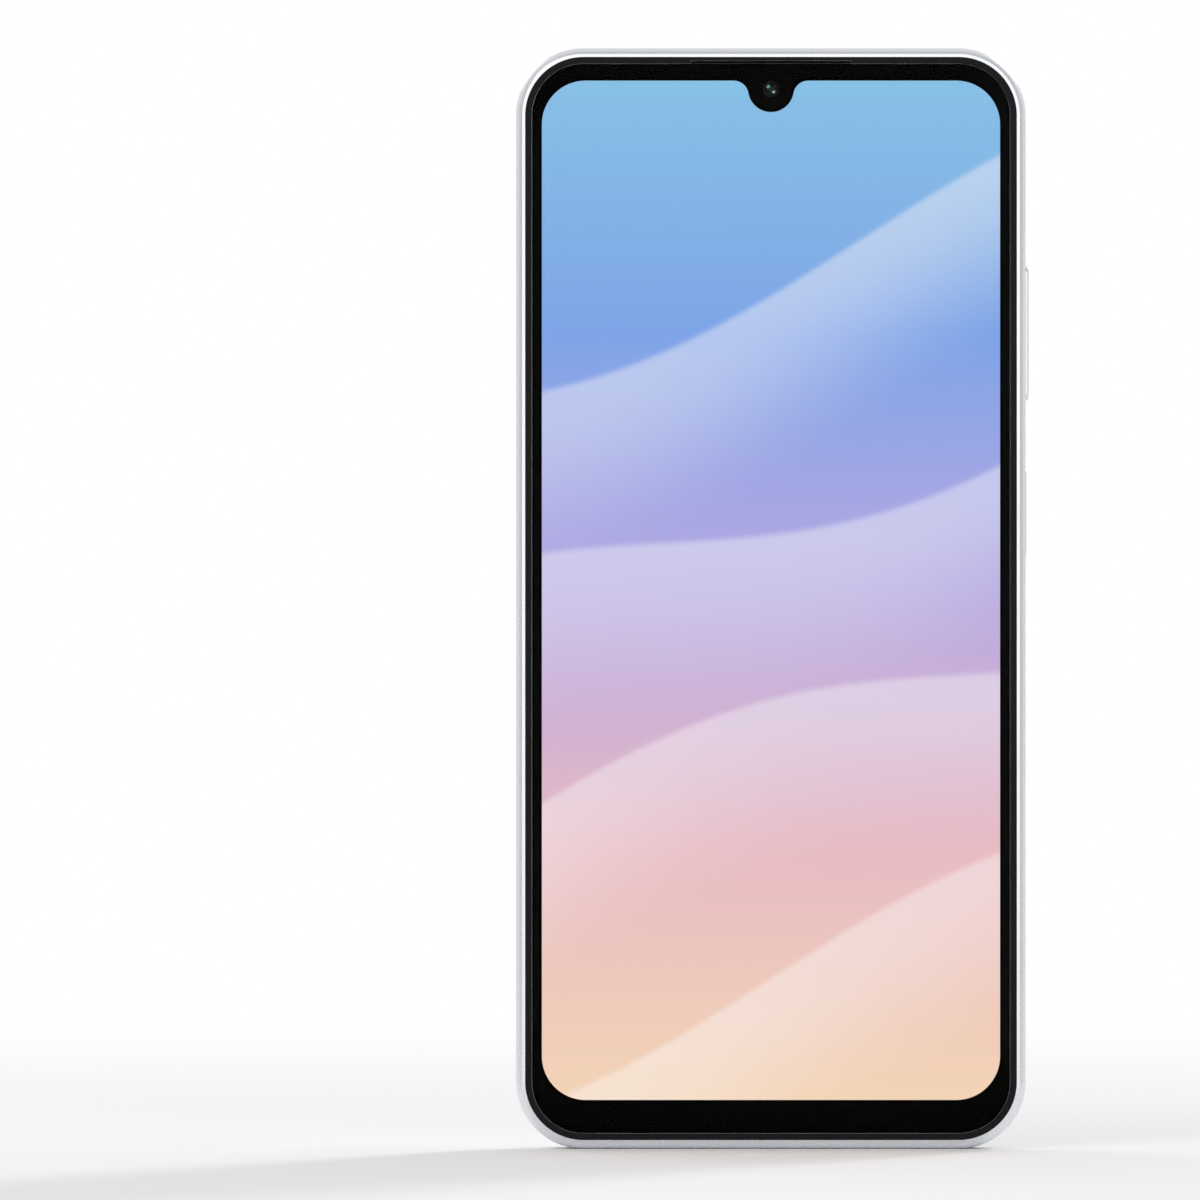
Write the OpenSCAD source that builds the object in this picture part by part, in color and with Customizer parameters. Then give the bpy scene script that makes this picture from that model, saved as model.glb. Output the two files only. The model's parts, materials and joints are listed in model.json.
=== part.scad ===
// Smartphone, standing on its bottom edge, as an assembly of its separate pieces.
// X runs across the display, Y through the thickness with the display facing -Y, and Z up.
// The origin is the mouth of the charging port, in the middle of the bottom edge.

/* [Body] */
// Width across the side frame, without the keys
body_w = 77.8; // [77.4:0.1:78.6]
// Height of the side frame
body_h = 168; // [167:0.1:170]
// Depth from the cover glass to the rear cover
body_t = 8.8; // [8.8:0.05:9.2]
// Corner radius seen from the front
corner_r = 10.3; // [10:0.1:10.8]
// Depth of the flat band around the edge
flat_band = 4.8; // [4.6:0.1:5]
// Thickness of the side frame wall
wall = 2.2; // [2.1:0.05:2.3]

/* [Display] */
// Inset of the cover glass from the side frame's edge
glass_inset = 2.45; // [2.4:0.01:2.6]
// Thickness of the cover glass
glass_t = 0.7; // [0.6:0.05:0.7]
// Margin from the body's side to the lit screen
screen_side = 3.95; // [3.9:0.05:4.2]
// Margin from the body's top to the lit screen
screen_top = 5; // [4.9:0.1:5.4]
// Margin from the body's bottom to the lit screen
screen_bottom = 7.5; // [7:0.1:8]
// Corner radius of the lit screen
screen_r = 6.7; // [6:0.1:7]
// Radius of the notch around the front camera
notch_r = 3.5; // [3.2:0.1:3.8]
// Distance from the body's top to the front camera
front_camera_drop = 6.3; // [6.1:0.1:6.5]
// Length of the earpiece slot
earpiece_l = 24.5; // [20:0.5:26]

/* [Rear cameras] */
// Distance of the camera column from the middle of the body
camera_x = 26; // [25.5:0.1:26.2]
// Distance from the body's top to the top camera
camera_drop = 13; // [12.8:0.1:13.2]
// Distance between neighbouring cameras
camera_pitch = 15.7; // [15.5:0.1:15.9]
// Outer diameter of a camera ring
ring_d = 13.1; // [12.9:0.1:13.4]
// Height of a camera ring above the rear cover
ring_h = 1.2; // [1.1:0.05:1.5]
// Diameter of a camera window
window_d = 10.6; // [10.5:0.1:10.7]
// Distance of the flash from the middle of the body
flash_x = 15; // [14.5:0.1:15.2]
// Distance from the body's top to the flash
flash_drop = 20.8; // [20.5:0.1:21.2]
// Diameter of the flash lens
flash_d = 4.2; // [4:0.1:4.4]

/* [Side keys] */
// Length of the volume key
volume_l = 20.5; // [19:0.1:21]
// Distance from the body's top to the middle of the volume key
volume_drop = 43.5; // [43:0.1:44]
// Height of the volume key above the edge
volume_proud = 0.5; // [0.3:0.05:0.6]
// Length of the power key
power_l = 13.8; // [13:0.1:14]
// Distance from the body's top to the middle of the power key
power_drop = 71.1; // [70.8:0.1:71.4]
// Height of the power key above the edge
power_proud = 0.15; // [0:0.05:0.3]
// Width of both keys across the edge
key_w = 2.5; // [2.2:0.1:2.6]

/* [Edges] */
// Distance from the body's top to the middle of the card tray
tray_drop = 26; // [25.5:0.1:26.5]
// Length of the card tray's outer plate
tray_plate_l = 17.2; // [17:0.1:17.6]
// Depth of the card tray's blade into the body
tray_reach = 30; // [29:0.1:30.5]
// Distance of the headphone jack from the middle of the body
jack_x = -17; // [-17.5:0.1:-16.5]
// Radius of the headphone jack's bore
jack_r = 1.8; // [1.77:0.01:1.85]
// Depth of the headphone jack's bore
jack_depth = 14; // [13.8:0.1:14.2]
// Width of the charging port's shell
usb_w = 8.94; // [8.9:0.01:9]
// Height of the charging port's shell
usb_h = 3.16; // [3.1:0.01:3.2]
// Number of loudspeaker slots
speaker_slots = 6; // [4:1:6]
// Distance of the first loudspeaker slot from the middle of the body
speaker_x = 14.4; // [14.2:0.1:14.8]
// Distance between neighbouring loudspeaker slots
speaker_pitch = 2.1; // [2:0.05:2.2]

/* [Inside] */
// Width of the battery
battery_w = 66; // [60:0.5:66]
// Height of the battery
battery_h = 90; // [80:0.5:90]
// Thickness of both circuit boards
board_t = 0.8; // [0.7:0.05:0.8]
// Thickness of the rear cover
rear_t = 1; // [0.9:0.05:1]

/* [Hidden] */
$fn = 64;

// Colours
silver = [0.80, 0.81, 0.83];
black = [0.03, 0.03, 0.035];
dark_grey = [0.14, 0.14, 0.15];
steel = [0.62, 0.63, 0.65];
board_green = [0.05, 0.22, 0.14];
amber = [0.62, 0.38, 0.10];
gold = [0.83, 0.66, 0.32];
clear_glass = [0.75, 0.8, 0.85, 0.35];
smoked_glass = [0.02, 0.02, 0.025, 0.6];
screen_blue = [0.25, 0.45, 0.9];
film_white = [0.92, 0.93, 0.95];
lens_green = [0.05, 0.25, 0.22];
seal_red = [0.55, 0.1, 0.08];
tape_white = [0.9, 0.9, 0.85];
flash_white = [0.95, 0.96, 0.9];
phosphor = [0.95, 0.9, 0.45];

// Small gaps: between fixed pieces, round a moving piece, round a shaft, round a camera
// case, and round a part in an opening; and how far a cut runs past a surface
seam = 0.05;
play = 0.15;
running = 0.05;
case_gap = 0.2;
room = 0.3;
over = 0.5;

// Half sizes of the body
side_x = body_w / 2;
front_y = -body_t / 2;
rear_y = body_t / 2;

// Depths of the layers, from the display to the rear cover
print_t = 0.05;
lcd_t = 0.85;
backlight_t = 0.9;
flex_t = 0.1;
plate_t = 0.6;
tape_t = 0.1;
glass_back = front_y + glass_t;
print_back = glass_back + print_t;
lcd_back = print_back + lcd_t;
light_back = lcd_back + backlight_t;
plate_front = light_back + flex_t;
plate_back = plate_front + plate_t;
board_front = plate_back + 1.4;
board_back = board_front + board_t;
rear_inner = rear_y - rear_t;
cover_t = 0.8;
cover_back = rear_inner - 0.1;
cover_front = cover_back - cover_t;
floor_gap = 0.05;
bay_gap = 0.5;

// Soft edge of the rear cover: inset from its lip, and drop below its face
rear_round = [[0.1, 0.12], [0.22, 0.03], [0.4, 0]];
rear_round_drop = 0.3;
rear_rim_w = 0.8;

// Side frame: lips beside the bezel and the rear cover, and the ledges under them
lip_drop = 0.2;
chamfer_rise = 0.1;
front_lip = 1.4;
rear_lip = 1.25;
front_chamfer = 0.45;
rear_chamfer = 0.4;
bezel_t = 0.7;
bezel_front = front_y + 0.12;
bezel_back = bezel_front + bezel_t;
ledge_y = rear_inner - 0.4;
shoulder_sweep = 60;
shoulder_step = 12;

// Mid plate: the shelf that carries the display
shelf_w = 1;
shelf_front = print_back + tape_t;
lcd_inset = wall + shelf_w + 0.2;
lcd_top = body_h - screen_top + 0.6;
lcd_bottom = 4;
backlight_inset = 0.3;

// Tail of the display, which turns back through a slot in the mid plate, and its plug
tail_w = 20;
tail_z = 13.2;
tail_end = 16.8;
tail_slot = [12.4, 13.8];
tail_plug = [14, 16.6];
tail_plug_w = 12;

// Fillet radius on either side of the notch
flare_r = 2.3;

// Front camera and light sensor, behind openings in the glass's print
front_case = 6.2;
front_case_r = 0.4;
front_barrel_r = 2.1;
front_barrel_y = print_back + 0.1;
front_bore_r = 0.95;
front_bore_y = light_back - 0.4;
front_mouth_r = 1.7;
front_mouth_t = 0.6;
front_lens_r = 0.9;
front_opening_r = 1.3;
light_x = 8.5;
light_w = 2;
light_low = lcd_top + 0.1;
light_high = lcd_top + 1;
light_opening_r = 0.35;

// Earpiece and the mesh in its slot
earpiece_x = -13;
earpiece_z = body_h - 6.8;
earpiece_case = [11.6, 5.6];
earpiece_r = 1.2;
earpiece_rise = 0.6;
earpiece_port = [9, 3];
earpiece_port_z = body_h - 6.6;
earpiece_port_r = 0.5;
earpiece_drop = 0.55;
mesh_sink = 0.12;
mesh_pitch = 0.6;
mesh_hole_r = 0.11;
mesh_hole_z = body_h - glass_inset + 0.25;

// Heights of the edge's features
volume_z = body_h - volume_drop;
power_z = body_h - power_drop;
tray_z = body_h - tray_drop;
front_camera_z = body_h - front_camera_drop;
flash_z = body_h - flash_drop;
camera_zs = [for (i = [0:2]) body_h - camera_drop - i * camera_pitch];

// Side keys, from the key's flange inwards
key_gap = 0.35;
flange_t = 0.5;
flange_lip = 0.75;
flange_rise = 0.45;
inner_x = side_x - wall;
flange_outer = inner_x - key_gap;
flange_inner = flange_outer - flange_t;
key_flex_outer = flange_inner - 0.45;
key_flex_inner = key_flex_outer - 0.15;
bracket_t = 0.3;
dome_h = 0.15;
dome_r = 1;
rocker_dome = 7;
power_recess = 0.2;
power_recess_w = 3.4;
power_recess_l = power_l + 1.2;
strip_half = 1;
strip_end = 0.6;
bracket_foot = 0.4;
sensor_l = 11.6;
sensor_w = 1.8;
sensor_t = 0.3;
bracket_low = power_z - power_l / 2 - flange_lip - 1.8;
bracket_high = volume_z + volume_l / 2 + flange_lip + 1.6;
key_strip_z = (camera_zs[1] + camera_zs[2]) / 2 - 0.8;
key_strip_w = 5;

// Card tray and its socket
tray_y = board_front - 0.675;
tray_plate_w = 2.4;
tray_plate_t = 0.95;
tray_blade_l = 15.6;
tray_blade_t = 0.85;
tray_gap = 0.1;
gasket_t = 0.28;
gasket_grow = 0.6;
tray_pocket_t = 0.6;
nano_l = 12.4;
nano_w = 8.9;
micro_l = 14.4;
micro_w = 10.8;
eject_r = 0.5;
eject_z = tray_z - tray_plate_l / 2 + 1.5;
pocket_start = 2;
pocket_gap = 1.6;
socket_t = 1.35;
socket_margin = 0.6;
socket_end = 0.8;
socket_window = [3, 5, 8];
socket_window_pitch = 9;
sheet = 0.15;

// Battery
battery_low = 26;
battery_high = battery_low + battery_h;
battery_front = plate_back + 0.2;
battery_back = rear_inner - 0.2;
battery_r = 1.5;
rib_t = 0.6;
rib_end = 2;
pack_board = [-18, 8];
pack_board_l = 1.6;
pack_board_step = 0.4;
pack_lead_half = 3;
pack_lead_y = 1.9;
pack_lead = [1.5, 5.4];
pack_plug_half = 2.8;
pack_plug = [2.6, 5.2];
strip_x = 20;
strip_size = [14, 70];
strip_r = 1;

// Main board
board_low = 118;
board_high = body_h - 3.2;
board_left = -35.6;
board_right = 18.4;
board_r = 1.5;
board_notch_r = 0.6;
camera_notch = [7, 10];
earpiece_notch = [12.4, 8];
earpiece_notch_z = body_h - 6;
cover_margin = 0.2;
plug_window = [-8, 119.4, 30, 4];
rear_can = [-29.6, 12, 123, 157];
rear_can_h = 1.2;
front_can = [-4.6, 12.8, 124, 156.6];
front_can_h = 1.1;
can_r = 0.6;

// Chips on the back of the main board: centre, size and thickness
chip_r = 0.3;
processor = [-17, 148, 13, 13, 0.95];
memory = [-17, 132, 11.5, 13, 0.9];
power_chip = [-2, 150, 7.4, 7.4, 0.8];
charger_chip = [-2, 138, 6, 8, 0.75];
sound_chip = [6.5, 129, 5, 5, 0.7];
radio_chip = [6.8, 150, 4.4, 6, 0.7];

// Sub board and the ports
sub_left = -24;
sub_right = 9.6;
sub_low = 2.6;
sub_high = 22.6;
sub_r = 1;
port_z = 0.25;
usb_len = 7.1;
usb_wall = 0.3;
tongue_w = 6.69;
tongue_t = 0.7;
tongue_gap = 0.7;
tongue_root = 2;
root_gap = 0.02;
jack_y = plate_front + 2.3;
jack_half = 2.9;
jack_half_t = 2.3;
jack_nose_r = 2.3;
jack_mouth_flare = 0.06;
jack_z = 0.2;
jack_end = jack_z + jack_depth + 1;
contact_zs = [4.4, 8, 11.6];
contact_l = 2.4;
contact_w = 1.6;
contact_t = 0.35;
contact_inset = 0.7;
contact_play = 0.1;
contact_foot = 0.9;
contact_shoulder = 0.4;
mic_x = 7.4;
mic_r = 0.5;
top_mic_x = 11;
mic_left = 1.4;
mic_right = 0.8;
mic_t = 1;
mic_h = 1.9;
mic_edge = 0.2;
speaker_slot_l = 1.5;
speaker_slot_w = 1.1;
speaker_mesh_half = 0.8;
speaker_mesh_margin = 0.2;
main_flex_half = 6;
main_flex_low = 17.2;
main_flex_high = 123;
flex_plug_half = 5;
flex_plug_l = 3.2;
flex_plug_zs = [17.6, 118.8];

// Screws and the bosses that they go into
screw_r = 0.65;
boss_bore_r = 0.7;
boss_r = 1.6;
head_r = 1.3;
head_t = 0.45;
socket_r = 0.5;
board_bosses = [[-32.6, 162], [-32.6, 126], [7.6, 161.6], [15.4, 161.6]];
tall_bosses = [[34, 147], [33.3, 161.5]];
sub_bosses = [[-11.4, 20], [8, 20]];
box_bosses = [[34.2, 21]];

// Speaker box
box_left = 11;
box_right = 36;
box_low = 3;
box_high = 23.6;
box_wall = 0.8;
box_r = 1.5;
lid_t = 0.5;
lid_front = plate_back + 0.1;
box_front = lid_front + lid_t;
wing_low = 3;
driver_x = 21.6;
driver_z = 14.2;
driver_r = 5.2;
driver_wall = 0.8;
box_port_half = 0.9;
wing_overlap = 2;
wing_gap = 1.1;
cup_t = 0.5;
basket_w = 0.8;
basket_seat = 0.3;
coil_gap = 0.2;
cone_step = 0.1;
pole_r = 3;
coil_r = 3.9;
coil_t = 0.35;
cone_r = 4.9;
cone_t = 0.25;
swing = 0.3;
driver_back = cover_front;
driver_front = driver_back - 1.9;
basket_front = driver_front - 0.8;
cone_y = driver_front - 0.6;

// Vibration motor
motor_x = -30;
motor_z = 12.4;
motor_r = 4;
motor_back = plate_back + 2.8;
motor_wall = 0.25;
shaft_r = 0.4;
rotor_low = plate_back + 0.4;
rotor_gap = 0.2;
hub_r = 1.1;
rotor_disc_t = 0.5;
weight_gap = 0.6;

// Antenna cable
cable_r = 0.4;
cable_x = -34.4;
cable_y = -0.5;
cable_low = 21;
cable_bend = 3;
cable_plug_r = 1.1;
sub_plug_x = -22.4;
main_plug_z = 120.4;

// Camera modules
module_front = plate_back + 0.3;
main_case = 9;
small_case = 6.6;
case_back = rear_inner - 0.1;
barrel_r = 3.4;
barrel_bottom = 0.6;
barrel_top = rear_y - 0.2;
small_barrel_r = 2.6;
iris_r = 0.9;
main_iris_r = 1.5;
ring_collar_r = 5.75;
ring_bore_r = 4.95;
window_t = 0.5;
ring_top = rear_y + ring_h;
window_back = ring_top - 0.25 - window_t;
main_case_r = 0.5;
small_case_r = 0.4;
main_mouth_r = 2.3;
small_mouth_r = 1.5;
mouth_t = 0.5;
ring_edge = 0.15;
ring_land = 0.35;
ring_bevel = 0.3;
lead_l = 4.4;
lead_plug = [4.2, 0.6];
lead_plug_side = 0.2;
main_lead_w = 4.6;
small_lead_w = 3;

// Flash lens and its light
flash_flange_t = 0.4;
flash_stem_step = 0.7;
flash_stem_t = 0.9;
led_w = 2.6;
led_t = 0.9;
led_r = 0.3;

// Snap tabs of the rear cover: distance along the side, and which side
snap_sides = [22, 52, 80, 110, 148];
snap_ends = [-24, 0, 24];
snap_l = 4;
snap_t = 0.6;
snap_hook = 0.3;
snap_y = 1.9;
snap_hook_h = 0.5;

// Draws a flat shape in X and Z and extrudes it between two depths
module between(y0, y1) {
    translate([0, y1, 0]) rotate([90, 0, 0]) linear_extrude(height = y1 - y0) children();
}

// Rounded rectangle between two corners
module rounded(x0, z0, x1, z1, r) {
    translate([x0 + r, z0]) square([x1 - x0 - 2 * r, z1 - z0]);
    translate([x0, z0 + r]) square([x1 - x0, z1 - z0 - 2 * r]);
    for (x = [x0 + r, x1 - r], z = [z0 + r, z1 - r]) translate([x, z]) circle(r = r);
}

// Outline of the body, moved inwards
module body_outline(inset) {
    rounded(inset - side_x, inset, side_x - inset, body_h - inset, corner_r - inset);
}

// Rounded rectangle about a centre
module pad(x, z, w, h, r) {
    rounded(x - w / 2, z - h / 2, x + w / 2, z + h / 2, r);
}

// Slot with round ends, w across and h high
module obround(w, h) {
    r = min(w, h) / 2;
    square([w > h ? w - 2 * r : w, h > w ? h - 2 * r : h], center = true);
    for (s = [-1, 1]) translate([s * (w / 2 - r), s * (h / 2 - r)]) circle(r = r);
}

// Box between three pairs of limits
module block(x0, x1, y0, y1, z0, z1) {
    translate([x0, y0, z0]) cube([x1 - x0, y1 - y0, z1 - z0]);
}

// Round bar along Y
module rod_y(x, z, r, y0, y1) {
    translate([x, y1, z]) rotate([90, 0, 0]) cylinder(r = r, h = y1 - y0);
}

// Slot through a side of the body, l long in Z and w deep in Y
module side_slot(x0, x1, y, z, l, w) {
    translate([x0, y, z]) rotate([90, 0, 90]) linear_extrude(height = x1 - x0) obround(w, l);
}

// Slot through the bottom or top of the body, l long in X and w deep in Y
module end_slot(z0, z1, x, y, l, w) {
    translate([x, y, z0]) linear_extrude(height = z1 - z0) obround(l, w);
}

// Runs a cross-section round the whole edge; its points are [inset from the edge, depth]
module round_the_edge(section) {
    for (turn = [0:3]) {
        across = turn % 2 == 0 ? body_w : body_h;
        along = (turn % 2 == 0 ? body_h : body_w) - 2 * corner_r;
        translate([0, 0, body_h / 2]) rotate([0, -90 * turn, 0]) translate([0, 0, -along / 2])
            linear_extrude(height = along) polygon([for (p = section) [across / 2 - p[0], p[1]]]);
        corner_x = (turn == 0 || turn == 3 ? 1 : -1) * (side_x - corner_r);
        corner_z = turn < 2 ? body_h - corner_r : corner_r;
        translate([corner_x, 0, corner_z]) rotate([90, 0, 0]) rotate([0, 0, 90 * turn])
            rotate_extrude(angle = 90) polygon([for (p = section) [corner_r - p[0], -p[1]]]);
    }
}

// Points of the rounded shoulder from the flat band to an inset and a depth
function shoulder(inset, depth) = [
    for (a = [0:shoulder_step:shoulder_sweep]) [
        inset * (1 - cos(a)) / (1 - cos(shoulder_sweep)),
        flat_band / 2 + (depth - flat_band / 2) * sin(a) / sin(shoulder_sweep)
    ]
];
function mirrored(points) = [for (p = points) [p[0], -p[1]]];
function backwards(points) = [for (i = [len(points) - 1:-1:0]) points[i]];

frame_section = concat(
    mirrored(shoulder(front_lip - front_chamfer, -front_y - lip_drop - chamfer_rise)),
    [[front_lip, front_y + lip_drop], [front_lip, bezel_back], [wall, bezel_back]],
    [[wall, ledge_y], [rear_lip, ledge_y], [rear_lip, rear_y - lip_drop]],
    backwards(shoulder(rear_lip - rear_chamfer, rear_y - lip_drop - chamfer_rise))
);

// Places its children at each snap tab, with X inwards from the edge
module at_snaps() {
    for (z = snap_sides) {
        translate([-side_x, 0, z]) children();
        translate([side_x, 0, z]) rotate([0, 180, 0]) children();
    }
    for (x = snap_ends) {
        translate([x, 0, body_h]) rotate([0, 90, 0]) children();
    }
}

module side_frame() {
    color(silver) difference() {
        round_the_edge(frame_section);
        side_slot(inner_x - over, side_x + over, 0, volume_z, volume_l + 2 * play, key_w + 2 * play);
        side_slot(inner_x - over, side_x + over, 0, power_z, power_l + 2 * play, key_w + 2 * play);
        side_slot(
            side_x - power_recess, side_x + over, 0, power_z, power_recess_l, power_recess_w
        );
        side_slot(
            -side_x - over, tray_plate_t + gasket_t + seam - side_x, tray_y, tray_z,
            tray_plate_l + 2 * tray_gap, tray_plate_w + 2 * tray_gap
        );
        block(
            -side_x, over - inner_x, tray_y - tray_blade_t / 2 - tray_gap,
            tray_y + tray_blade_t / 2 + tray_gap, tray_z - tray_blade_l / 2 - tray_gap,
            tray_z + tray_blade_l / 2 + tray_gap
        );
        end_slot(-over, wall + over, 0, 0, usb_w + 2 * seam, usb_h + 2 * seam);
        // The moulded hole for the jack's nose widens outwards, as its core pin does
        translate([jack_x, jack_y, -over]) cylinder(
            r1 = jack_nose_r + seam + jack_mouth_flare, r2 = jack_nose_r + seam,
            h = wall + 2 * over
        );
        translate([mic_x, 0, -over]) cylinder(r = mic_r, h = wall + 2 * over);
        translate([top_mic_x, 0, body_h - wall - over]) cylinder(r = mic_r, h = wall + 2 * over);
        for (i = [0:speaker_slots - 1]) {
            end_slot(
                -over, wall + over, speaker_x + i * speaker_pitch, 0, speaker_slot_l,
                speaker_slot_w
            );
        }
        at_snaps() block(
            wall - snap_hook - seam, wall + over, snap_y - seam, snap_y + snap_hook_h + seam,
            -snap_l / 2 - play, snap_l / 2 + play
        );
    }
}

// Hollow boss that a screw goes into
module boss(point, y0, y1) {
    difference() {
        rod_y(point[0], point[1], boss_r, y0, y1);
        rod_y(point[0], point[1], boss_bore_r, y0 - over, y1 + over);
    }
}

module mid_plate() {
    color(steel) {
        difference() {
            union() {
                between(plate_front, plate_back) body_outline(wall);
                between(shelf_front, plate_front + seam) difference() {
                    body_outline(wall);
                    body_outline(wall + shelf_w);
                }
                for (x = [-battery_w / 2 - rib_t - case_gap, battery_w / 2 + case_gap]) {
                    block(
                        x, x + rib_t, plate_back - seam, board_back, battery_low + rib_end,
                        battery_high - rib_end
                    );
                }
                for (p = concat(board_bosses, sub_bosses)) {
                    rod_y(p[0], p[1], boss_r, plate_back - seam, board_front);
                }
                for (p = concat(tall_bosses, box_bosses)) {
                    rod_y(p[0], p[1], boss_r, plate_back - seam, cover_front);
                }
            }
            for (p = concat(board_bosses, sub_bosses, tall_bosses, box_bosses)) {
                rod_y(p[0], p[1], boss_bore_r, plate_front - over, rear_y);
            }
            // Window for the front camera
            between(front_y, board_front) pad(
                0, front_camera_z, front_case + 2 * room, front_case + 2 * room, 2 * front_case_r
            );
            // Acoustic channel from the earpiece to its slot
            block(
                -earpiece_l / 2, earpiece_l / 2, front_y, plate_front - over,
                body_h - wall - shelf_w - over, body_h
            );
            between(front_y, board_front) pad(
                earpiece_x, earpiece_port_z, earpiece_port[0], earpiece_port[1], earpiece_port_r
            );
            // Notches for the charging port and the headphone jack
            block(
                -usb_w / 2 - room, usb_w / 2 + room, plate_front - seam, board_front, 0,
                port_z + usb_len + over
            );
            block(
                jack_x - jack_half - room, jack_x + jack_half + room, plate_front - seam,
                board_front, 0, jack_end + room
            );
            // Slot for the display flex
            block(
                -tail_w / 2 - over, tail_w / 2 + over, plate_front - over, board_front,
                tail_slot[0], tail_slot[1]
            );
            // Room for the flanges of the side keys
            block(
                key_flex_inner - bracket_t - play, side_x, plate_front, board_front,
                bracket_low - room, bracket_high + room
            );
        }
    }
}

module rear_cover() {
    color(silver) {
        difference() {
            union() {
                between(rear_inner, rear_y) body_outline(rear_lip + rear_rim_w - case_gap);
                round_the_edge(concat(
                    [[rear_lip + seam, ledge_y], [rear_lip + seam, rear_y - rear_round_drop]],
                    [for (p = rear_round) [rear_lip + p[0], rear_y - p[1]]],
                    [[rear_lip + rear_rim_w, rear_y], [rear_lip + rear_rim_w, rear_inner]],
                    [[wall, cover_back], [wall, ledge_y]]
                ));
                at_snaps() block(
                    wall + seam, wall + seam + snap_t, snap_y, rear_inner + seam, -snap_l / 2,
                    snap_l / 2
                );
                at_snaps() block(
                    wall - snap_hook, wall + 2 * seam, snap_y, snap_y + snap_hook_h,
                    -snap_l / 2, snap_l / 2
                );
            }
            for (z = camera_zs) {
                rod_y(camera_x, z, ring_collar_r + seam, ledge_y, rear_y + over);
            }
            rod_y(flash_x, flash_z, flash_d / 2, ledge_y, rear_y + over);
        }
    }
}

module upper_cover() {
    color(dark_grey) difference() {
        union() {
            between(cover_front, cover_back) intersection() {
                rounded(
                    board_left - cover_margin, board_low, cover_margin - board_left, board_high,
                    board_r
                );
                body_outline(wall + bay_gap);
            }
            for (p = board_bosses) rod_y(p[0], p[1], boss_r, board_back, cover_front + seam);
        }
        for (p = concat(board_bosses, tall_bosses)) {
            rod_y(p[0], p[1], boss_bore_r, board_front, cover_back + over);
            rod_y(p[0], p[1], head_r + seam, cover_back - head_t, cover_back + over);
        }
        between(cover_front - over, cover_back + over) {
            pad(
                camera_x, camera_zs[1], main_case + 2 * case_gap, main_case + 2 * case_gap,
                small_case_r
            );
            for (z = [camera_zs[0], camera_zs[2]]) {
                pad(
                    camera_x, z, small_case + 2 * case_gap, small_case + 2 * case_gap,
                    small_case_r
                );
            }
            translate([flash_x, flash_z]) circle(r = flash_d / 2 + case_gap);
            pad(plug_window[0], plug_window[1], plug_window[2], plug_window[3], board_notch_r);
        }
    }
}

// Screw with a drive socket, its head's top at y
module screw(point, y, length) {
    difference() {
        union() {
            rod_y(point[0], point[1], head_r, y - head_t, y);
            rod_y(point[0], point[1], screw_r, y - length, y - head_t + seam);
        }
        rod_y(point[0], point[1], socket_r, y - head_t + play, y + over);
    }
}

module cover_screws() {
    color(steel) {
        for (p = concat(board_bosses, tall_bosses, sub_bosses, box_bosses)) {
            screw(p, cover_back, cover_back - plate_back - case_gap);
        }
    }
}

module display_bezel() {
    color(black) difference() {
        between(bezel_front, bezel_back) difference() {
            body_outline(front_lip);
            body_outline(glass_inset - seam);
        }
        block(
            -earpiece_l / 2, earpiece_l / 2, front_y - over, bezel_back + over,
            body_h - glass_inset - over, body_h - front_lip - earpiece_drop
        );
    }
}

module cover_glass() {
    color(clear_glass) between(front_y, glass_back) body_outline(glass_inset);
}

// Outline of the lit screen, with the notch and its flared shoulders
module screen_outline() {
    top = body_h - screen_top;
    centre = body_h - front_camera_drop;
    rise = top - centre - flare_r;
    reach = sqrt(pow(notch_r + flare_r, 2) - pow(rise, 2));
    difference() {
        rounded(
            screen_side - side_x, screen_bottom, side_x - screen_side, top, screen_r
        );
        translate([0, centre]) circle(r = notch_r);
        difference() {
            translate([-reach, centre + rise * notch_r / (notch_r + flare_r)])
                square([2 * reach, top - centre]);
            for (s = [-1, 1]) translate([s * reach, top - flare_r]) circle(r = flare_r);
        }
    }
}

module glass_border_print() {
    color(black) between(glass_back, print_back) difference() {
        body_outline(glass_inset + seam);
        screen_outline();
        translate([0, front_camera_z]) circle(r = front_opening_r);
        translate([light_x, (light_low + light_high) / 2]) circle(r = light_opening_r);
    }
}

// Outline shared by the display's cell and its backlight, with the cut-out for the front camera
module panel_outline(shrink) {
    difference() {
        rounded(
            lcd_inset + shrink - side_x, lcd_bottom + shrink, side_x - lcd_inset - shrink,
            lcd_top - shrink, screen_r
        );
        translate([-notch_r, front_camera_z]) square([2 * notch_r, body_h]);
        translate([0, front_camera_z]) circle(r = notch_r);
    }
}

module lcd_panel() {
    color(screen_blue) between(print_back, lcd_back) panel_outline(0);
}

module backlight_unit() {
    color(film_white) between(lcd_back, light_back) panel_outline(backlight_inset);
}

module display_flex() {
    color(amber) {
        block(-tail_w / 2, tail_w / 2, light_back, plate_front, lcd_bottom + 1, tail_z);
        block(
            -tail_w / 2, tail_w / 2, light_back, plate_back + sheet, tail_z + seam - sheet,
            tail_z + seam
        );
        block(
            -tail_w / 2, tail_w / 2, plate_back + floor_gap, plate_back + sheet, tail_z, tail_end
        );
        block(
            -tail_plug_w / 2, tail_plug_w / 2, plate_back + sheet, board_front, tail_plug[0],
            tail_plug[1]
        );
    }
}

module display_adhesive() {
    color(dark_grey) between(print_back, shelf_front) difference() {
        body_outline(glass_inset + 2 * seam);
        body_outline(wall + shelf_w);
        translate([-earpiece_l / 2, body_h - wall - shelf_w - over]) square([earpiece_l, wall]);
    }
}

module front_camera() {
    color(black) difference() {
        union() {
            between(light_back, board_back)
                pad(0, front_camera_z, front_case, front_case, front_case_r);
            rod_y(0, front_camera_z, front_barrel_r, front_barrel_y, light_back + seam);
        }
        rod_y(0, front_camera_z, front_bore_r, front_y, front_bore_y);
        translate([0, front_barrel_y - seam, front_camera_z]) rotate([-90, 0, 0])
            cylinder(r1 = front_mouth_r, r2 = front_bore_r, h = front_mouth_t);
    }
}

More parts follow.
